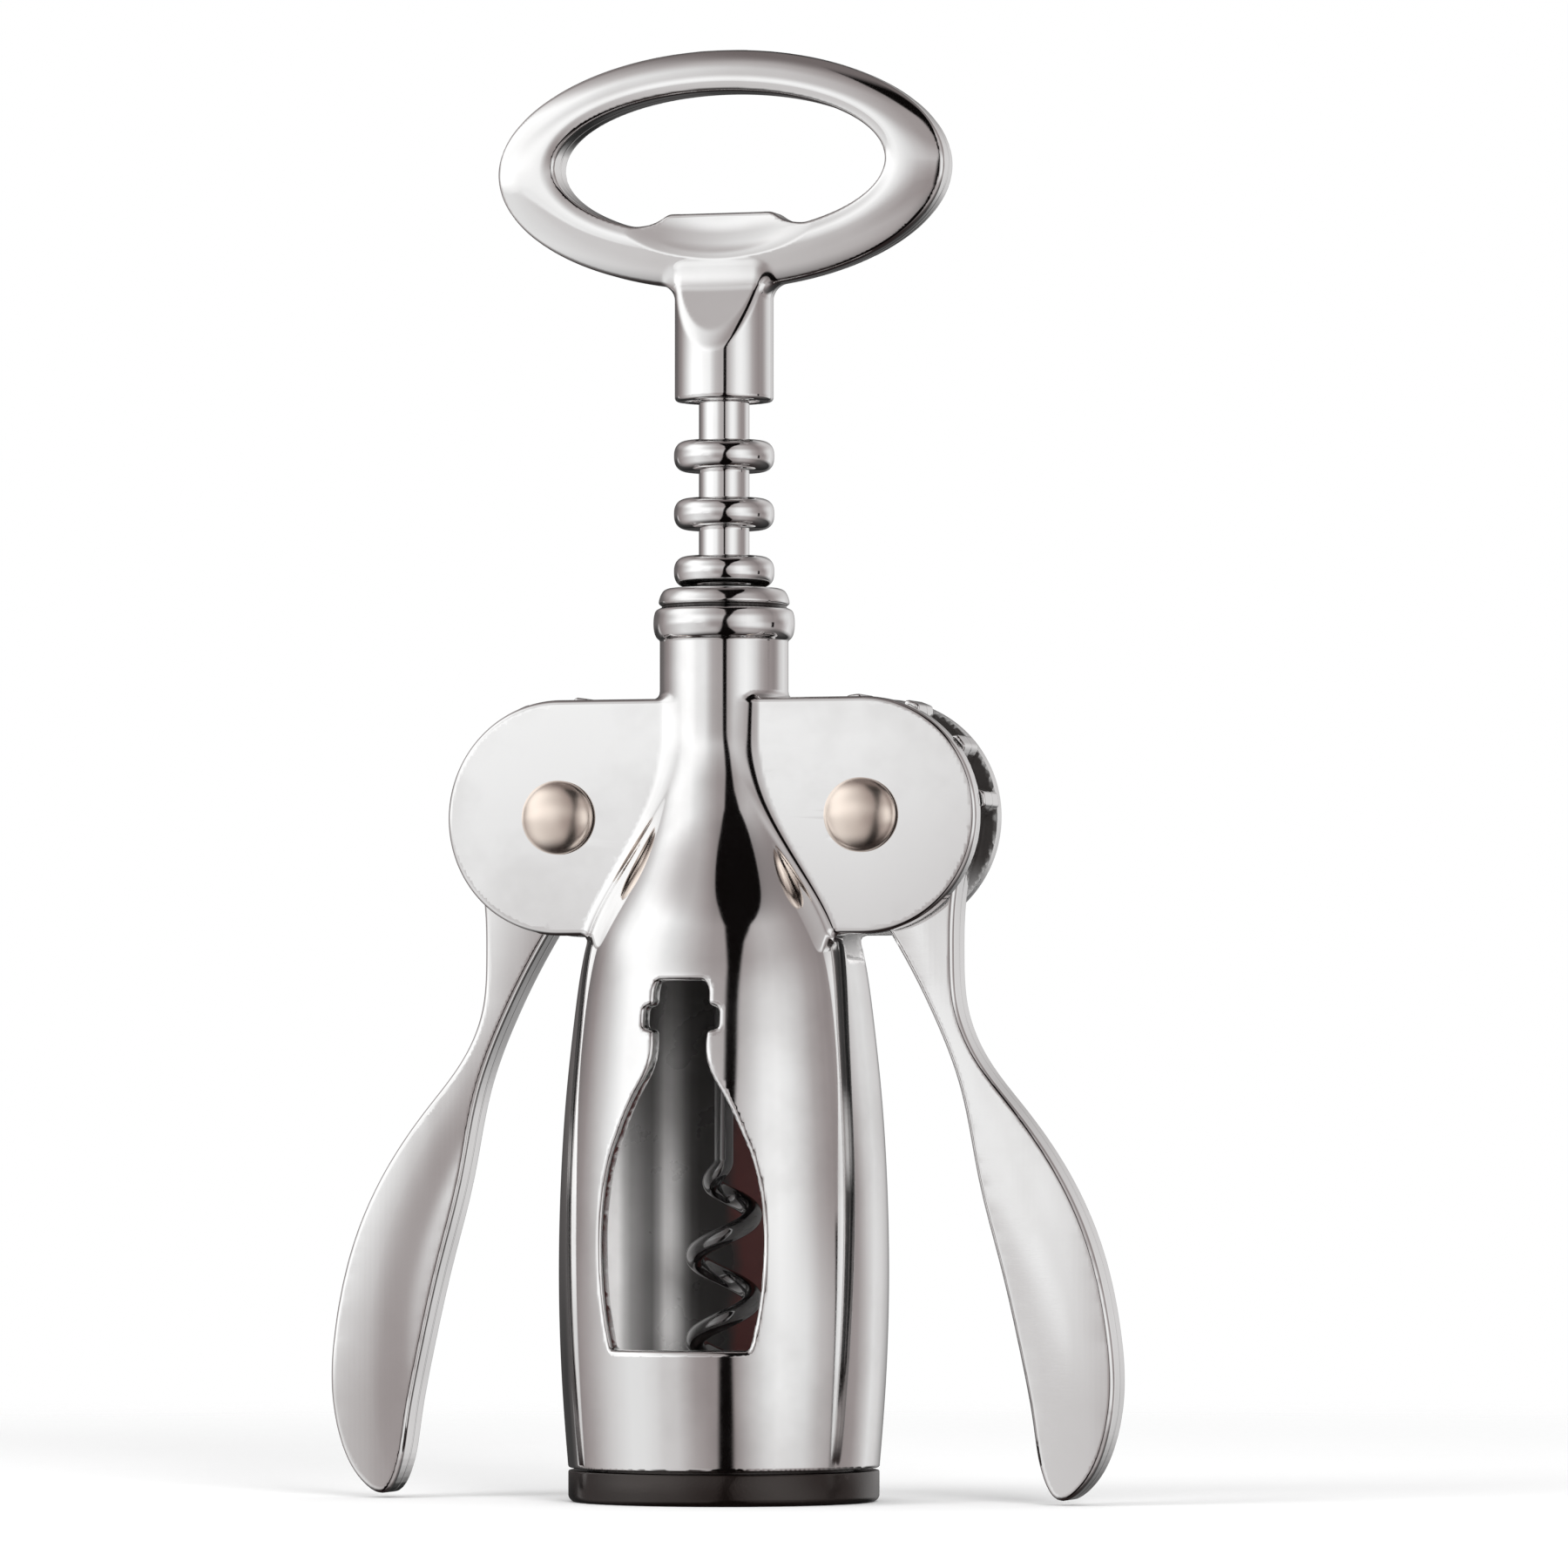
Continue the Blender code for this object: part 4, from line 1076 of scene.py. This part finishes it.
def build_rivet_tree(sizes):
    """A shank with a domed head on both ends, in each of the two pivots."""
    tree = bpy.data.node_groups.new("domed_rivets", "GeometryNodeTree")
    given = named_inputs(tree, sizes)
    # A head is an oval dome with a small straight rim and a flat seat.
    sheet, along, angle = polar_sheet(tree, DOME_STEPS, ROUND_STEPS)
    bend = times(tree, straight(tree, along, 0.0, DOME_END), math.pi / 2)
    dome_radius = worked(tree, "POWER", worked(tree, "SINE", bend), DOME_FULLNESS)
    inward = straight(tree, along, DOME_RIM_END, 1.0, 1.0, 0.0)
    radius = times(tree, dome_radius, inward, given["Head Radius"])
    rim = times(tree, given["Head Height"], DOME_RIM_SHARE)
    crown = minus(tree, given["Head Height"], rim)
    height = plus(tree, times(tree, worked(tree, "COSINE", bend), crown), rim)
    height = minus(tree, height, times(tree, straight(tree, along, DOME_END, DOME_RIM_END), rim))
    stood = moved(tree, rolled(tree, sheet, angle, radius, height), Rotation=(math.pi / 2, 0, 0))
    heads = []
    for way, turn in ((-1, 0), (1, math.pi)):
        seat = point_at(tree, y=times(tree, given["Seat"], way))
        heads.append(moved(tree, stood, Rotation=(0, 0, turn), Translation=seat))
    length = times(tree, given["Seat"], 2 * SHANK_OVERLAP)
    steps = {"Vertices": 48, "Radius": given["Shank Radius"], "Depth": length}
    shank = node(tree, "GeometryNodeMeshCylinder", inputs=steps).outputs[0]
    rivet = together(tree, *heads, moved(tree, shank, Rotation=(math.pi / 2, 0, 0)))
    left, right = [
        point_at(tree, times(tree, given["Pivot Reach"], way), z=given["Pivot Height"]) for way in (-1, 1)
    ]
    ends = {"Count": 2, "Start Location": left, "Offset": right}
    pivots = node(tree, "GeometryNodeMeshLine", mode="END_POINTS", inputs=ends).outputs[0]
    close_tree(tree, set_out(tree, pivots, rivet), given["Finish"])
    return tree


nickel = metal_finish(
    "champagne_nickel",
    colour=(0.98, 0.86, 0.765, 1),
    rubbed=(0.98, 0.93, 0.88, 1),
    residue_and_shade=(0.62, 0.50, 0.42, 1),
    roughness=0.25,
    haze=0.05,
    wear_and_shade=0.3,
)
rivet_sizes = {
    "Head Radius": RIVET_HEAD_RADIUS,
    "Head Height": RIVET_HEAD_HEIGHT,
    "Shank Radius": RIVET_RADIUS,
    "Seat": RIVET_SEAT,
    "Pivot Reach": PIVOT_REACH,
    "Pivot Height": PIVOT_HEIGHT,
    "Finish": nickel,
}
rivets = grown("pivot_rivets_domed", build_rivet_tree(rivet_sizes), rivet_sizes, sharp_deg=50)
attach(rivets, "body")
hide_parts("left_pivot_rivet", "right_pivot_rivet", "left_rivet_cap", "right_rivet_cap")

# The wing levers: zinc die castings, polished and chromium plated, each one piece with its gear
# teeth. Their broad faces are slightly crowned and their rims are rounded.
LEVER_REACH = 0.0844
LEVER_THICKNESS = 0.0064
LEVER_EDGE = 0.0007
LEVER_CROWN = 0.00032
LEVER_NET = 0.00034
LEVER_FINE_NET = 0.00017
LEVER_EDGE_SPANS = ((-0.0036, -0.0022), (0.0022, 0.0036))
BLADE_STEP = 0.0008
BLADE_CORNER = 0.0009
BLADE_TABLE_STEP = 0.0002
PILLOW_STEP = 0.0007
GEAR_THICKNESS = 0.0062
GEAR_ROOT = 0.0130
GEAR_PITCH_RADIUS = 0.0137510
GEAR_TIP = 0.01515
TEETH_ROUND = 12
TEETH_CUT = 7
REST_TOOTH_DEG = 7.5
TOOTH_THICKNESS = 0.0032
TOOTH_ROOT_SHARE = 1.3
TOOTH_TIP_SHARE = 0.53
TOOTH_CORNER = 0.00016
GEAR_EDGE = 0.00025
GEAR_FILLET = 0.0006
PARTING_HALF_WIDTH = 0.00032
POLISH_STEP_HALF_WIDTH = 0.0030
POLISH_STEP_FOOT = (-0.004, 0.010)
POLISH_STEP_TOP = (0.056, 0.043)
LIFT_SOFTNESS = 0.0000012
LEAN_AXIS = -0.042
LOW_LEAN_SPAN = (0.062, 0.034)
# Residue colour for smudges, also painted shade in the inner corners.
LIGHT_RESIDUE_AND_SHADE = (0.74, 0.72, 0.705, 1)
blade_root_shares = [(0.123, -0.985), (-0.3, -0.46), (0.5, 0.1), (0.953, -0.303)]
blade_shares = [
    (0.132, -0.114), (0.128, -0.205), (0.133, -0.278), (0.160, -0.348), (0.221, -0.428), (0.282, -0.513),
    (0.335, -0.625), (0.364, -0.750), (0.369, -0.850), (0.352, -0.930), (0.320, -0.982), (0.285, -1.000),
    (0.266, -0.975), (0.248, -0.893), (0.227, -0.782), (0.199, -0.662), (0.165, -0.532), (0.137, -0.397),
    (0.098, -0.296), (0.059, -0.219),
]


def gear_outline():
    """The right lever's teeth and hub about its pivot."""
    flank = [(GEAR_ROOT, TOOTH_ROOT_SHARE), (GEAR_PITCH_RADIUS, 1.0), (GEAR_TIP, TOOTH_TIP_SHARE)]
    half = [(radius, TOOTH_THICKNESS * share / 2 / radius) for radius, share in flank]
    step = math.tau / TEETH_ROUND
    low = math.pi + math.radians(REST_TOOTH_DEG) - (TEETH_CUT - 1) * step
    spots = []
    for tooth in range(TEETH_CUT):
        middle = low + tooth * step
        spots += [(radius, middle - width) for radius, width in half]
        spots += [(radius, middle + width) for radius, width in reversed(half)]
        spots.append((GEAR_ROOT, middle + step / 2))
    start = low + (TEETH_CUT - 0.5) * step
    plain = math.tau - TEETH_CUT * step
    spots += [(GEAR_ROOT, start + plain * part / 20) for part in range(1, 20)]
    return [(radius * math.cos(angle), radius * math.sin(angle)) for radius, angle in spots]


def pillow_over(outline, spacing, rounds=2500):
    """A soft pillow over an outline, like a film under pressure: 0 at its edge and 1 at its top."""
    low, (us, vs) = table_places(outline, 2 * spacing, spacing)
    inside = outline_form(outline, 0.002, spacing / 2)(us[:, None], vs[None, :]) < 0
    film = np.zeros(inside.shape)
    for _ in range(rounds):
        beside = np.roll(film, 1, 0) + np.roll(film, -1, 0) + np.roll(film, 1, 1) + np.roll(film, -1, 1)
        film = np.where(inside, (beside + 1) / 4, 0)
    return table_reader(film / film.max(), low, spacing)


def build_lever_form():
    """The right lever's form: its blade, its hub and its teeth."""
    roots = [(GEAR_ROOT * x, GEAR_ROOT * z) for x, z in blade_root_shares]
    inner_root, inner_end, outer_end, outer_root = roots
    blade = [(LEVER_REACH * x, LEVER_REACH * z) for x, z in blade_shares]
    outline = [outer_end, *fair_curve([outer_root, *blade, inner_root], 400).tolist(), inner_end]
    outline = even_outline(outline, BLADE_STEP, BLADE_CORNER)
    blade_form = outline_form(outline, OUTLINE_ROOM, BLADE_TABLE_STEP)
    pillow = pillow_over(outline, PILLOW_STEP)
    gear = even_outline(gear_outline(), OUTLINE_STEP, TOOTH_CORNER)
    gear_form = outline_form(gear, OUTLINE_ROOM, TABLE_STEP)

    def form(x, y, z):
        x, z = x - PIVOT_REACH, z - PIVOT_HEIGHT
        fall = LEVER_CROWN * (1 - pillow(x, z))
        blade = common(blade_form(x, z), abs(y) - LEVER_THICKNESS / 2 + fall, LEVER_EDGE)
        gear = common(gear_form(x, z), abs(y) - GEAR_THICKNESS / 2, GEAR_EDGE)
        return cut(joined(blade, gear, GEAR_FILLET), np.hypot(x, z) - PIVOT_BORE, BORE_EDGE)

    return form


def room_round(name):
    """The box of a node with a little room round it."""
    low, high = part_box(name)
    return [value - NET_ROOM for value in low], [value + NET_ROOM for value in high]


def add_swell(material, scale, depth, parting):
    """A hand-polished swell, and the faint ridge of the die's parting line round the rim."""
    tree, shader = opened(material)
    spot = own_place(tree)
    stretched = node(tree, "ShaderNodeMapping", inputs={"Vector": spot, "Scale": scale}).outputs[0]
    beside = worked(tree, "ABSOLUTE", parts_of(tree, spot)[1])
    ridge = times(tree, eased(tree, beside, PARTING_HALF_WIDTH, 0.00010), parting)
    add_bump(tree, shader, plus(tree, noise(tree, stretched, 1.0, 1.0), ridge), depth)


def hollow_along(material, line, deep, lift, lean, low_lean):
    """How a lever's faces were polished, which its reflections show more than its shape does.

    A soft step runs along x = a + b z + c z z, the face lifts again past it, and leans, more so low down.
    """
    tree, shader = opened(material)
    x, _, z = parts_of(tree, own_place(tree))
    start, slope, bend = line
    beside = minus(tree, minus(tree, x, start), times(tree, z, plus(tree, times(tree, z, bend), slope)))
    step = eased(tree, beside, -POLISH_STEP_HALF_WIDTH, POLISH_STEP_HALF_WIDTH, 0.0, -deep)
    fade = times(tree, eased(tree, z, *POLISH_STEP_FOOT), eased(tree, z, *POLISH_STEP_TOP))
    past = minus(tree, beside, POLISH_STEP_HALF_WIDTH * 0.75)
    past = plus(tree, past, worked(tree, "SQRT", plus(tree, times(tree, past, past), LIFT_SOFTNESS)))
    height = plus(tree, times(tree, step, fade), times(tree, x, lean), times(tree, past, lift / 2))
    below = times(tree, plus(tree, x, -LEAN_AXIS), eased(tree, z, *LOW_LEAN_SPAN, 0.0, low_lean))
    add_bump(tree, shader, plus(tree, height, below), 1.0)


right_form = build_lever_form()


def left_form(x, y, z):
    return right_form(-x, y, z)


for side, form, line, deep, lift, lean, low_lean in (
    ("right", right_form, (0.0370, -0.1, 0.0), 0.00006, 0.0, 0.044, 0.0),
    ("left", left_form, (-0.03930, -0.375, 10.5), 0.00010, 0.130, -0.050, -0.056),
):
    finish = metal_finish(f"{side}_lever_chrome", CHROME, RUBBED_CHROME, LIGHT_RESIDUE_AND_SHADE, 0.05, 0.04)
    add_swell(finish, (130, 130, 22), 0.00011, 0.36)
    hollow_along(finish, line, deep, lift, lean, low_lean)
    lever = cast_piece(
        f"{side}_lever_polished",
        form,
        *room_round(f"{side}_lever"),
        LEVER_NET,
        share=0.8,
        fine=((), LEVER_EDGE_SPANS, ()),
        fine_spacing=LEVER_FINE_NET,
    )
    lever.data.materials.append(finish)
    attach(lever, f"{side}_wing")
    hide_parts(f"{side}_lever")

# The rack spindle: a chromium plated steel shaft with round rings, which the levers' teeth drive
# as a rack. It is turned in one piece; the tree sets the rings along the shaft.
RING_PITCH = 0.0072
RING_RADIUS = 0.00625
RING_THICKNESS = 0.0039
RINGS = 8
RING_SQUARENESS = 2.5
FLANK_SHARE = 0.08
LOW_RING = 0.0794
SHAFT_RADIUS = 0.00315
TAIL_END = 0.0660
HEAD_END = 0.1461
RING_STEPS = 49


def build_rack_tree(sizes):
    """A shaft with a row of rings, each with a full round edge."""
    tree = bpy.data.node_groups.new("ringed_rack", "GeometryNodeTree")
    given = named_inputs(tree, sizes)
    # A ring has a flat flank from the axis out, then a full round edge, then the other flank.
    sheet, along, angle = polar_sheet(tree, RING_STEPS, ROUND_STEPS)
    half = times(tree, given["Ring Thickness"], 0.5)
    swing = times(tree, minus(tree, straight(tree, along, FLANK_SHARE, 1 - FLANK_SHARE), 0.5), math.pi)
    power = worked(tree, "DIVIDE", 2.0, given["Squareness"])
    out = worked(tree, "POWER", worked(tree, "MAXIMUM", worked(tree, "COSINE", swing), 0.0), power)
    lift = worked(tree, "SINE", swing)
    size = worked(tree, "POWER", worked(tree, "ABSOLUTE", lift), power)
    height = times(tree, half, times(tree, worked(tree, "SIGN", lift), size))
    rise = straight(tree, along, 0.0, FLANK_SHARE)
    fall = straight(tree, along, 1 - FLANK_SHARE, 1.0, 1.0, 0.0)
    flat = times(tree, minus(tree, given["Ring Radius"], half), times(tree, rise, fall))
    ring = rolled(tree, sheet, angle, plus(tree, flat, times(tree, half, out)), height)
    start, step = point_at(tree, z=given["Low Ring"]), point_at(tree, z=given["Ring Pitch"])
    row = {"Count": given["Rings"], "Start Location": start, "Offset": step}
    rings = set_out(tree, node(tree, "GeometryNodeMeshLine", mode="OFFSET", inputs=row).outputs[0], ring)
    length = minus(tree, given["Head End"], given["Tail End"])
    steps = {"Vertices": 96, "Side Segments": 8, "Radius": given["Shaft Radius"], "Depth": length}
    shaft = node(tree, "GeometryNodeMeshCylinder", inputs=steps).outputs[0]
    middle = times(tree, plus(tree, given["Head End"], given["Tail End"]), 0.5)
    shaft = moved(tree, shaft, Translation=point_at(tree, z=middle))
    close_tree(tree, together(tree, rings, shaft), given["Finish"])
    return tree


rack_sizes = {
    "Ring Radius": RING_RADIUS,
    "Ring Thickness": RING_THICKNESS,
    "Ring Pitch": RING_PITCH,
    "Rings": RINGS,
    "Low Ring": LOW_RING,
    "Shaft Radius": SHAFT_RADIUS,
    "Tail End": TAIL_END,
    "Head End": HEAD_END,
    "Squareness": RING_SQUARENESS,
    "Finish": chrome,
}
rack = grown("rack_spindle_turned", build_rack_tree(rack_sizes), rack_sizes, sharp_deg=50)
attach(rack, "spindle")
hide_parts("rack_spindle")

# The stop washer and its clip: zinc plated steel pressings under the last ring, inside the neck.
# They keep their shapes from the model and get the yellowish grey of plating.
plating = metal_finish(
    "zinc_plating",
    colour=(0.58, 0.57, 0.54, 1),
    rubbed=(0.70, 0.69, 0.66, 1),
    residue_and_shade=(0.30, 0.28, 0.24, 1),
    roughness=0.30,
    haze=0.15,
    wear_and_shade=0.4,
)
for name in ("stop_washer", "retaining_clip"):
    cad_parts[name].data.materials.clear()
    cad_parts[name].data.materials.append(plating)

# The handle: a zinc die casting, polished and chromium plated. An oval ring with a domed section
# stands on a round boss, and a scooped lip at the foot of its hole lifts bottle caps.
BOSS_BASE = 0.1366
BOSS_RADIUS = 0.00615
BOSS_EDGE = 0.0005
BOSS_TOP_EDGE = 0.001
BOSS_FILLET = 0.0018
HANDLE_FOOT = 0.1507
HANDLE_WIDTH = 0.0582
HANDLE_HEIGHT = 0.0298
HANDLE_DEPTH = 0.0058
RIM_SIDE = 0.0076
RIM_TOP = 0.0053
RIM_FOOT = 0.0066
RIM_CREST = 0.26
RIM_OUTER_DROP = 0.00070
RIM_EDGE_DROP = 0.00015
RIM_TOP_DROP = 0.40
RIM_INNER_DROP = 0.00032
RIM_OUTER_EDGE = 0.00042
RIM_INNER_EDGE = 0.00045
THINNEST_RIM = 0.003
TONGUE_LENGTH = 0.0067
TONGUE_EDGE = 0.0007
LIFTER_HEIGHT = 0.0028
LIFTER_TOP = 0.0136
LIFTER_FOOT = 0.0214
LIFTER_DEPTH = 0.0034
LIFTER_CORNER = 0.0004
LIFTER_FILLET = 0.0016
SCOOP_HALF_WIDTH = 0.0120
SCOOP_DROP = 0.0055
SCOOP_EDGE = 0.0004
SHAFT_SOCKET = 0.00345
SOCKET_EDGE = 0.0002
SOCKET_PLAY = 0.0003
SOCKET_MOUTH = 0.00465
MOUTH_DEPTH = 0.0015
MOUTH_EDGE = 0.0003
OVAL_TABLE_STEP = 0.0002
OUTER_ROOM = 0.004
HOLE_ROOM = 0.0115
HANDLE_NET = 0.0003


def oval(width, height, middle):
    turns = np.linspace(0, math.tau, 480, endpoint=False)
    return np.stack([width / 2 * np.cos(turns), middle + height / 2 * np.sin(turns)], 1)


def oval_form(width, height, middle):
    """Distance to an oval in x and z, negative inside it, exact only close to it but perfectly smooth."""
    def read(x, z):
        across, up = x / (width / 2), (z - middle) / (height / 2)
        size = np.hypot(across, up)
        pull = np.hypot(across / (width / 2), up / (height / 2))
        return size * (size - 1) / np.maximum(pull, 1e-6)

    return read


def build_handle_form():
    """The handle's form: a ring with a domed section, the scooped lip in its hole, and the boss."""
    outer_sizes = HANDLE_WIDTH, HANDLE_HEIGHT, HANDLE_FOOT + HANDLE_HEIGHT / 2
    hole_middle = HANDLE_FOOT + (HANDLE_HEIGHT + RIM_FOOT - RIM_TOP) / 2
    hole_sizes = HANDLE_WIDTH - 2 * RIM_SIDE, HANDLE_HEIGHT - RIM_TOP - RIM_FOOT, hole_middle
    outer = outline_form(oval(*outer_sizes), OUTER_ROOM, OVAL_TABLE_STEP)
    hole = outline_form(oval(*hole_sizes), HOLE_ROOM, OVAL_TABLE_STEP)
    outer_edge, hole_edge = oval_form(*outer_sizes), oval_form(*hole_sizes)
    lip_foot, hole_foot = HANDLE_FOOT + RIM_FOOT / 2, HANDLE_FOOT + RIM_FOOT
    lip_top = hole_foot + LIFTER_HEIGHT
    lip = [
        (-LIFTER_FOOT / 2, lip_foot), (LIFTER_FOOT / 2, lip_foot), (LIFTER_FOOT / 2, hole_foot),
        (LIFTER_TOP / 2, lip_top), (-LIFTER_TOP / 2, lip_top), (-LIFTER_FOOT / 2, hole_foot),
    ]
    lip_form = outline_form(even_outline(lip, OUTLINE_STEP, LIFTER_CORNER), OUTLINE_ROOM, OVAL_TABLE_STEP)
    half_depth = HANDLE_DEPTH / 2
    narrowing = BOSS_RADIUS - half_depth
    lean = math.hypot(TONGUE_LENGTH, narrowing)

    def form(x, y, z):
        y = abs(y)
        beyond_outer, beyond_hole = outer(x, z), hole(x, z)
        width = np.maximum(beyond_hole - beyond_outer, THINNEST_RIM)
        share = np.clip(beyond_hole / width, 0, 1) - RIM_CREST
        outward, inward = np.maximum(share, 0) / (1 - RIM_CREST), np.maximum(-share, 0) / RIM_CREST
        drop = RIM_OUTER_DROP + RIM_TOP_DROP * np.maximum(RIM_SIDE - width, 0)
        front = y - half_depth + drop * outward**2 + RIM_EDGE_DROP * outward**4
        front += RIM_INNER_DROP * inward**2
        rim = common(front, outer_edge(x, z), RIM_OUTER_EDGE)
        beside_hole = joined(-hole_edge(x, z), lip_form(x, z), LIFTER_FILLET)
        solid = common(rim, beside_hole, RIM_INNER_EDGE)
        fall = (x / SCOOP_HALF_WIDTH) ** 2 + ((z - lip_top) / SCOOP_DROP) ** 2
        bowl = LIFTER_DEPTH / 2 + (half_depth - LIFTER_DEPTH / 2) * fall**1.5
        solid = cut(solid, (bowl - y) * 0.9, SCOOP_EDGE)
        away = np.hypot(x, y)
        boss = common(away - BOSS_RADIUS, BOSS_BASE - z, BOSS_EDGE)
        boss = common(boss, z - HANDLE_FOOT - RIM_FOOT / 2, BOSS_TOP_EDGE)
        slant = ((y - half_depth) * TONGUE_LENGTH + (z - HANDLE_FOOT) * narrowing) / lean
        boss = common(boss, slant, TONGUE_EDGE)
        solid = joined(solid, boss, BOSS_FILLET)
        solid = cut(solid, np.maximum(away - SHAFT_SOCKET, z - HEAD_END - SOCKET_PLAY), SOCKET_EDGE)
        return cut(solid, np.maximum(away - SOCKET_MOUTH, z - BOSS_BASE - MOUTH_DEPTH), MOUTH_EDGE)

    return form


handle_chrome = metal_finish("handle_chrome", CHROME, RUBBED_CHROME, LIGHT_RESIDUE_AND_SHADE, 0.045, 0.04)
add_swell(handle_chrome, (90, 90, 90), 0.00004, 1.0)
handle = cast_piece(
    "opener_handle_polished", build_handle_form(), *room_round("opener_handle"), HANDLE_NET, share=0.85
)
handle.data.materials.append(handle_chrome)
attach(handle, "spindle")
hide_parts("opener_handle")

# The worm: a helix of steel wire with a low-friction black coating, drawn to a point. Its straight
# shank is soldered into the rack spindle.
WORM_WIRE = 0.0024
WORM_WIDTH = 0.0095
WORM_PITCH = 0.0104
WORM_TURNS = 2.75
WORM_TIP_HEIGHT = 0.0085
WORM_TIP_WIRE = 0.0005
WORM_FRONT_DEG = -73.0
WORM_FRONT_HEIGHT = 0.0329
WORM_TOP = 0.0777
WORM_STEPS = 620
TAPER_TURNS = 0.5
OPENING_TURNS = 0.5


def build_worm_tree(sizes):
    """A wire that runs straight down from the top, opens into a helix and tapers to a point."""
    tree = bpy.data.node_groups.new("worm_helix", "GeometryNodeTree")
    given = named_inputs(tree, sizes)
    ends = {"Start": point_at(tree, z=given["Top"]), "End": point_at(tree, z=given["Tip Height"])}
    line = node(tree, "GeometryNodeCurvePrimitiveLine", inputs=ends).outputs[0]
    fine = node(tree, "GeometryNodeResampleCurve", inputs={0: line, "Count": WORM_STEPS}).outputs[0]
    height = parts_of(tree, node(tree, "GeometryNodeInputPosition").outputs[0])[2]
    wire = times(tree, given["Wire"], 0.5)
    reach = minus(tree, times(tree, given["Width"], 0.5), wire)
    turns = worked(tree, "DIVIDE", minus(tree, height, given["Front Height"]), given["Pitch"])
    angle = plus(tree, given["Front Angle"], times(tree, turns, math.tau))
    from_tip = worked(tree, "DIVIDE", minus(tree, height, given["Tip Height"]), given["Pitch"])
    opening = eased(tree, minus(tree, from_tip, given["Turns"]), OPENING_TURNS, 0.0)
    spots = around(tree, angle, times(tree, reach, opening), height)
    wound = node(tree, "GeometryNodeSetPosition", inputs={0: fine, "Position": spots}).outputs[0]
    taper = worked(tree, "SQRT", straight(tree, from_tip, 0.0, TAPER_TURNS))
    point = times(tree, given["Tip Wire"], 0.5)
    radius = plus(tree, point, times(tree, minus(tree, wire, point), taper))
    section = node(tree, "GeometryNodeCurvePrimitiveCircle", inputs={"Resolution": 28, "Radius": 1.0})
    sweep = {"Curve": wound, "Profile Curve": section.outputs[0], "Scale": radius, "Fill Caps": True}
    swept = node(tree, "GeometryNodeCurveToMesh", inputs=sweep).outputs[0]
    close_tree(tree, swept, given["Finish"])
    return tree


def black_coating():
    """Glossy black low-friction coating, with faint long scratches and greyer rubbed turns."""
    material, tree, shader = new_finish("black_coating")
    polish = placed_group(tree, polish_group, roughness=0.05, haze=0.05, hairlines=0.6, swell=0.3)
    rubbed = eased(tree, noise(tree, own_place(tree), 260.0, 4.0), 0.4, 0.7)
    colour = blended(tree, rubbed, (0.0035, 0.0032, 0.0032, 1), (0.012, 0.0105, 0.0105, 1))
    link(tree, colour, shader.inputs["Base Color"])
    link(tree, polish["Roughness"], shader.inputs["Roughness"])
    add_bump(tree, shader, polish["Height"], 0.00003)
    shader.inputs["IOR"].default_value = 2.5
    shader.inputs["Coat Weight"].default_value = 0.6
    return material


worm_sizes = {
    "Wire": WORM_WIRE,
    "Width": WORM_WIDTH,
    "Pitch": WORM_PITCH,
    "Turns": WORM_TURNS,
    "Tip Height": WORM_TIP_HEIGHT,
    "Tip Wire": WORM_TIP_WIRE,
    "Front Angle": math.radians(WORM_FRONT_DEG),
    "Front Height": WORM_FRONT_HEIGHT,
    "Top": WORM_TOP,
    "Finish": black_coating(),
}
worm = grown("worm_screw_coated", build_worm_tree(worm_sizes), worm_sizes, sharp_deg=60)
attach(worm, "spindle")
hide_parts("worm_screw")
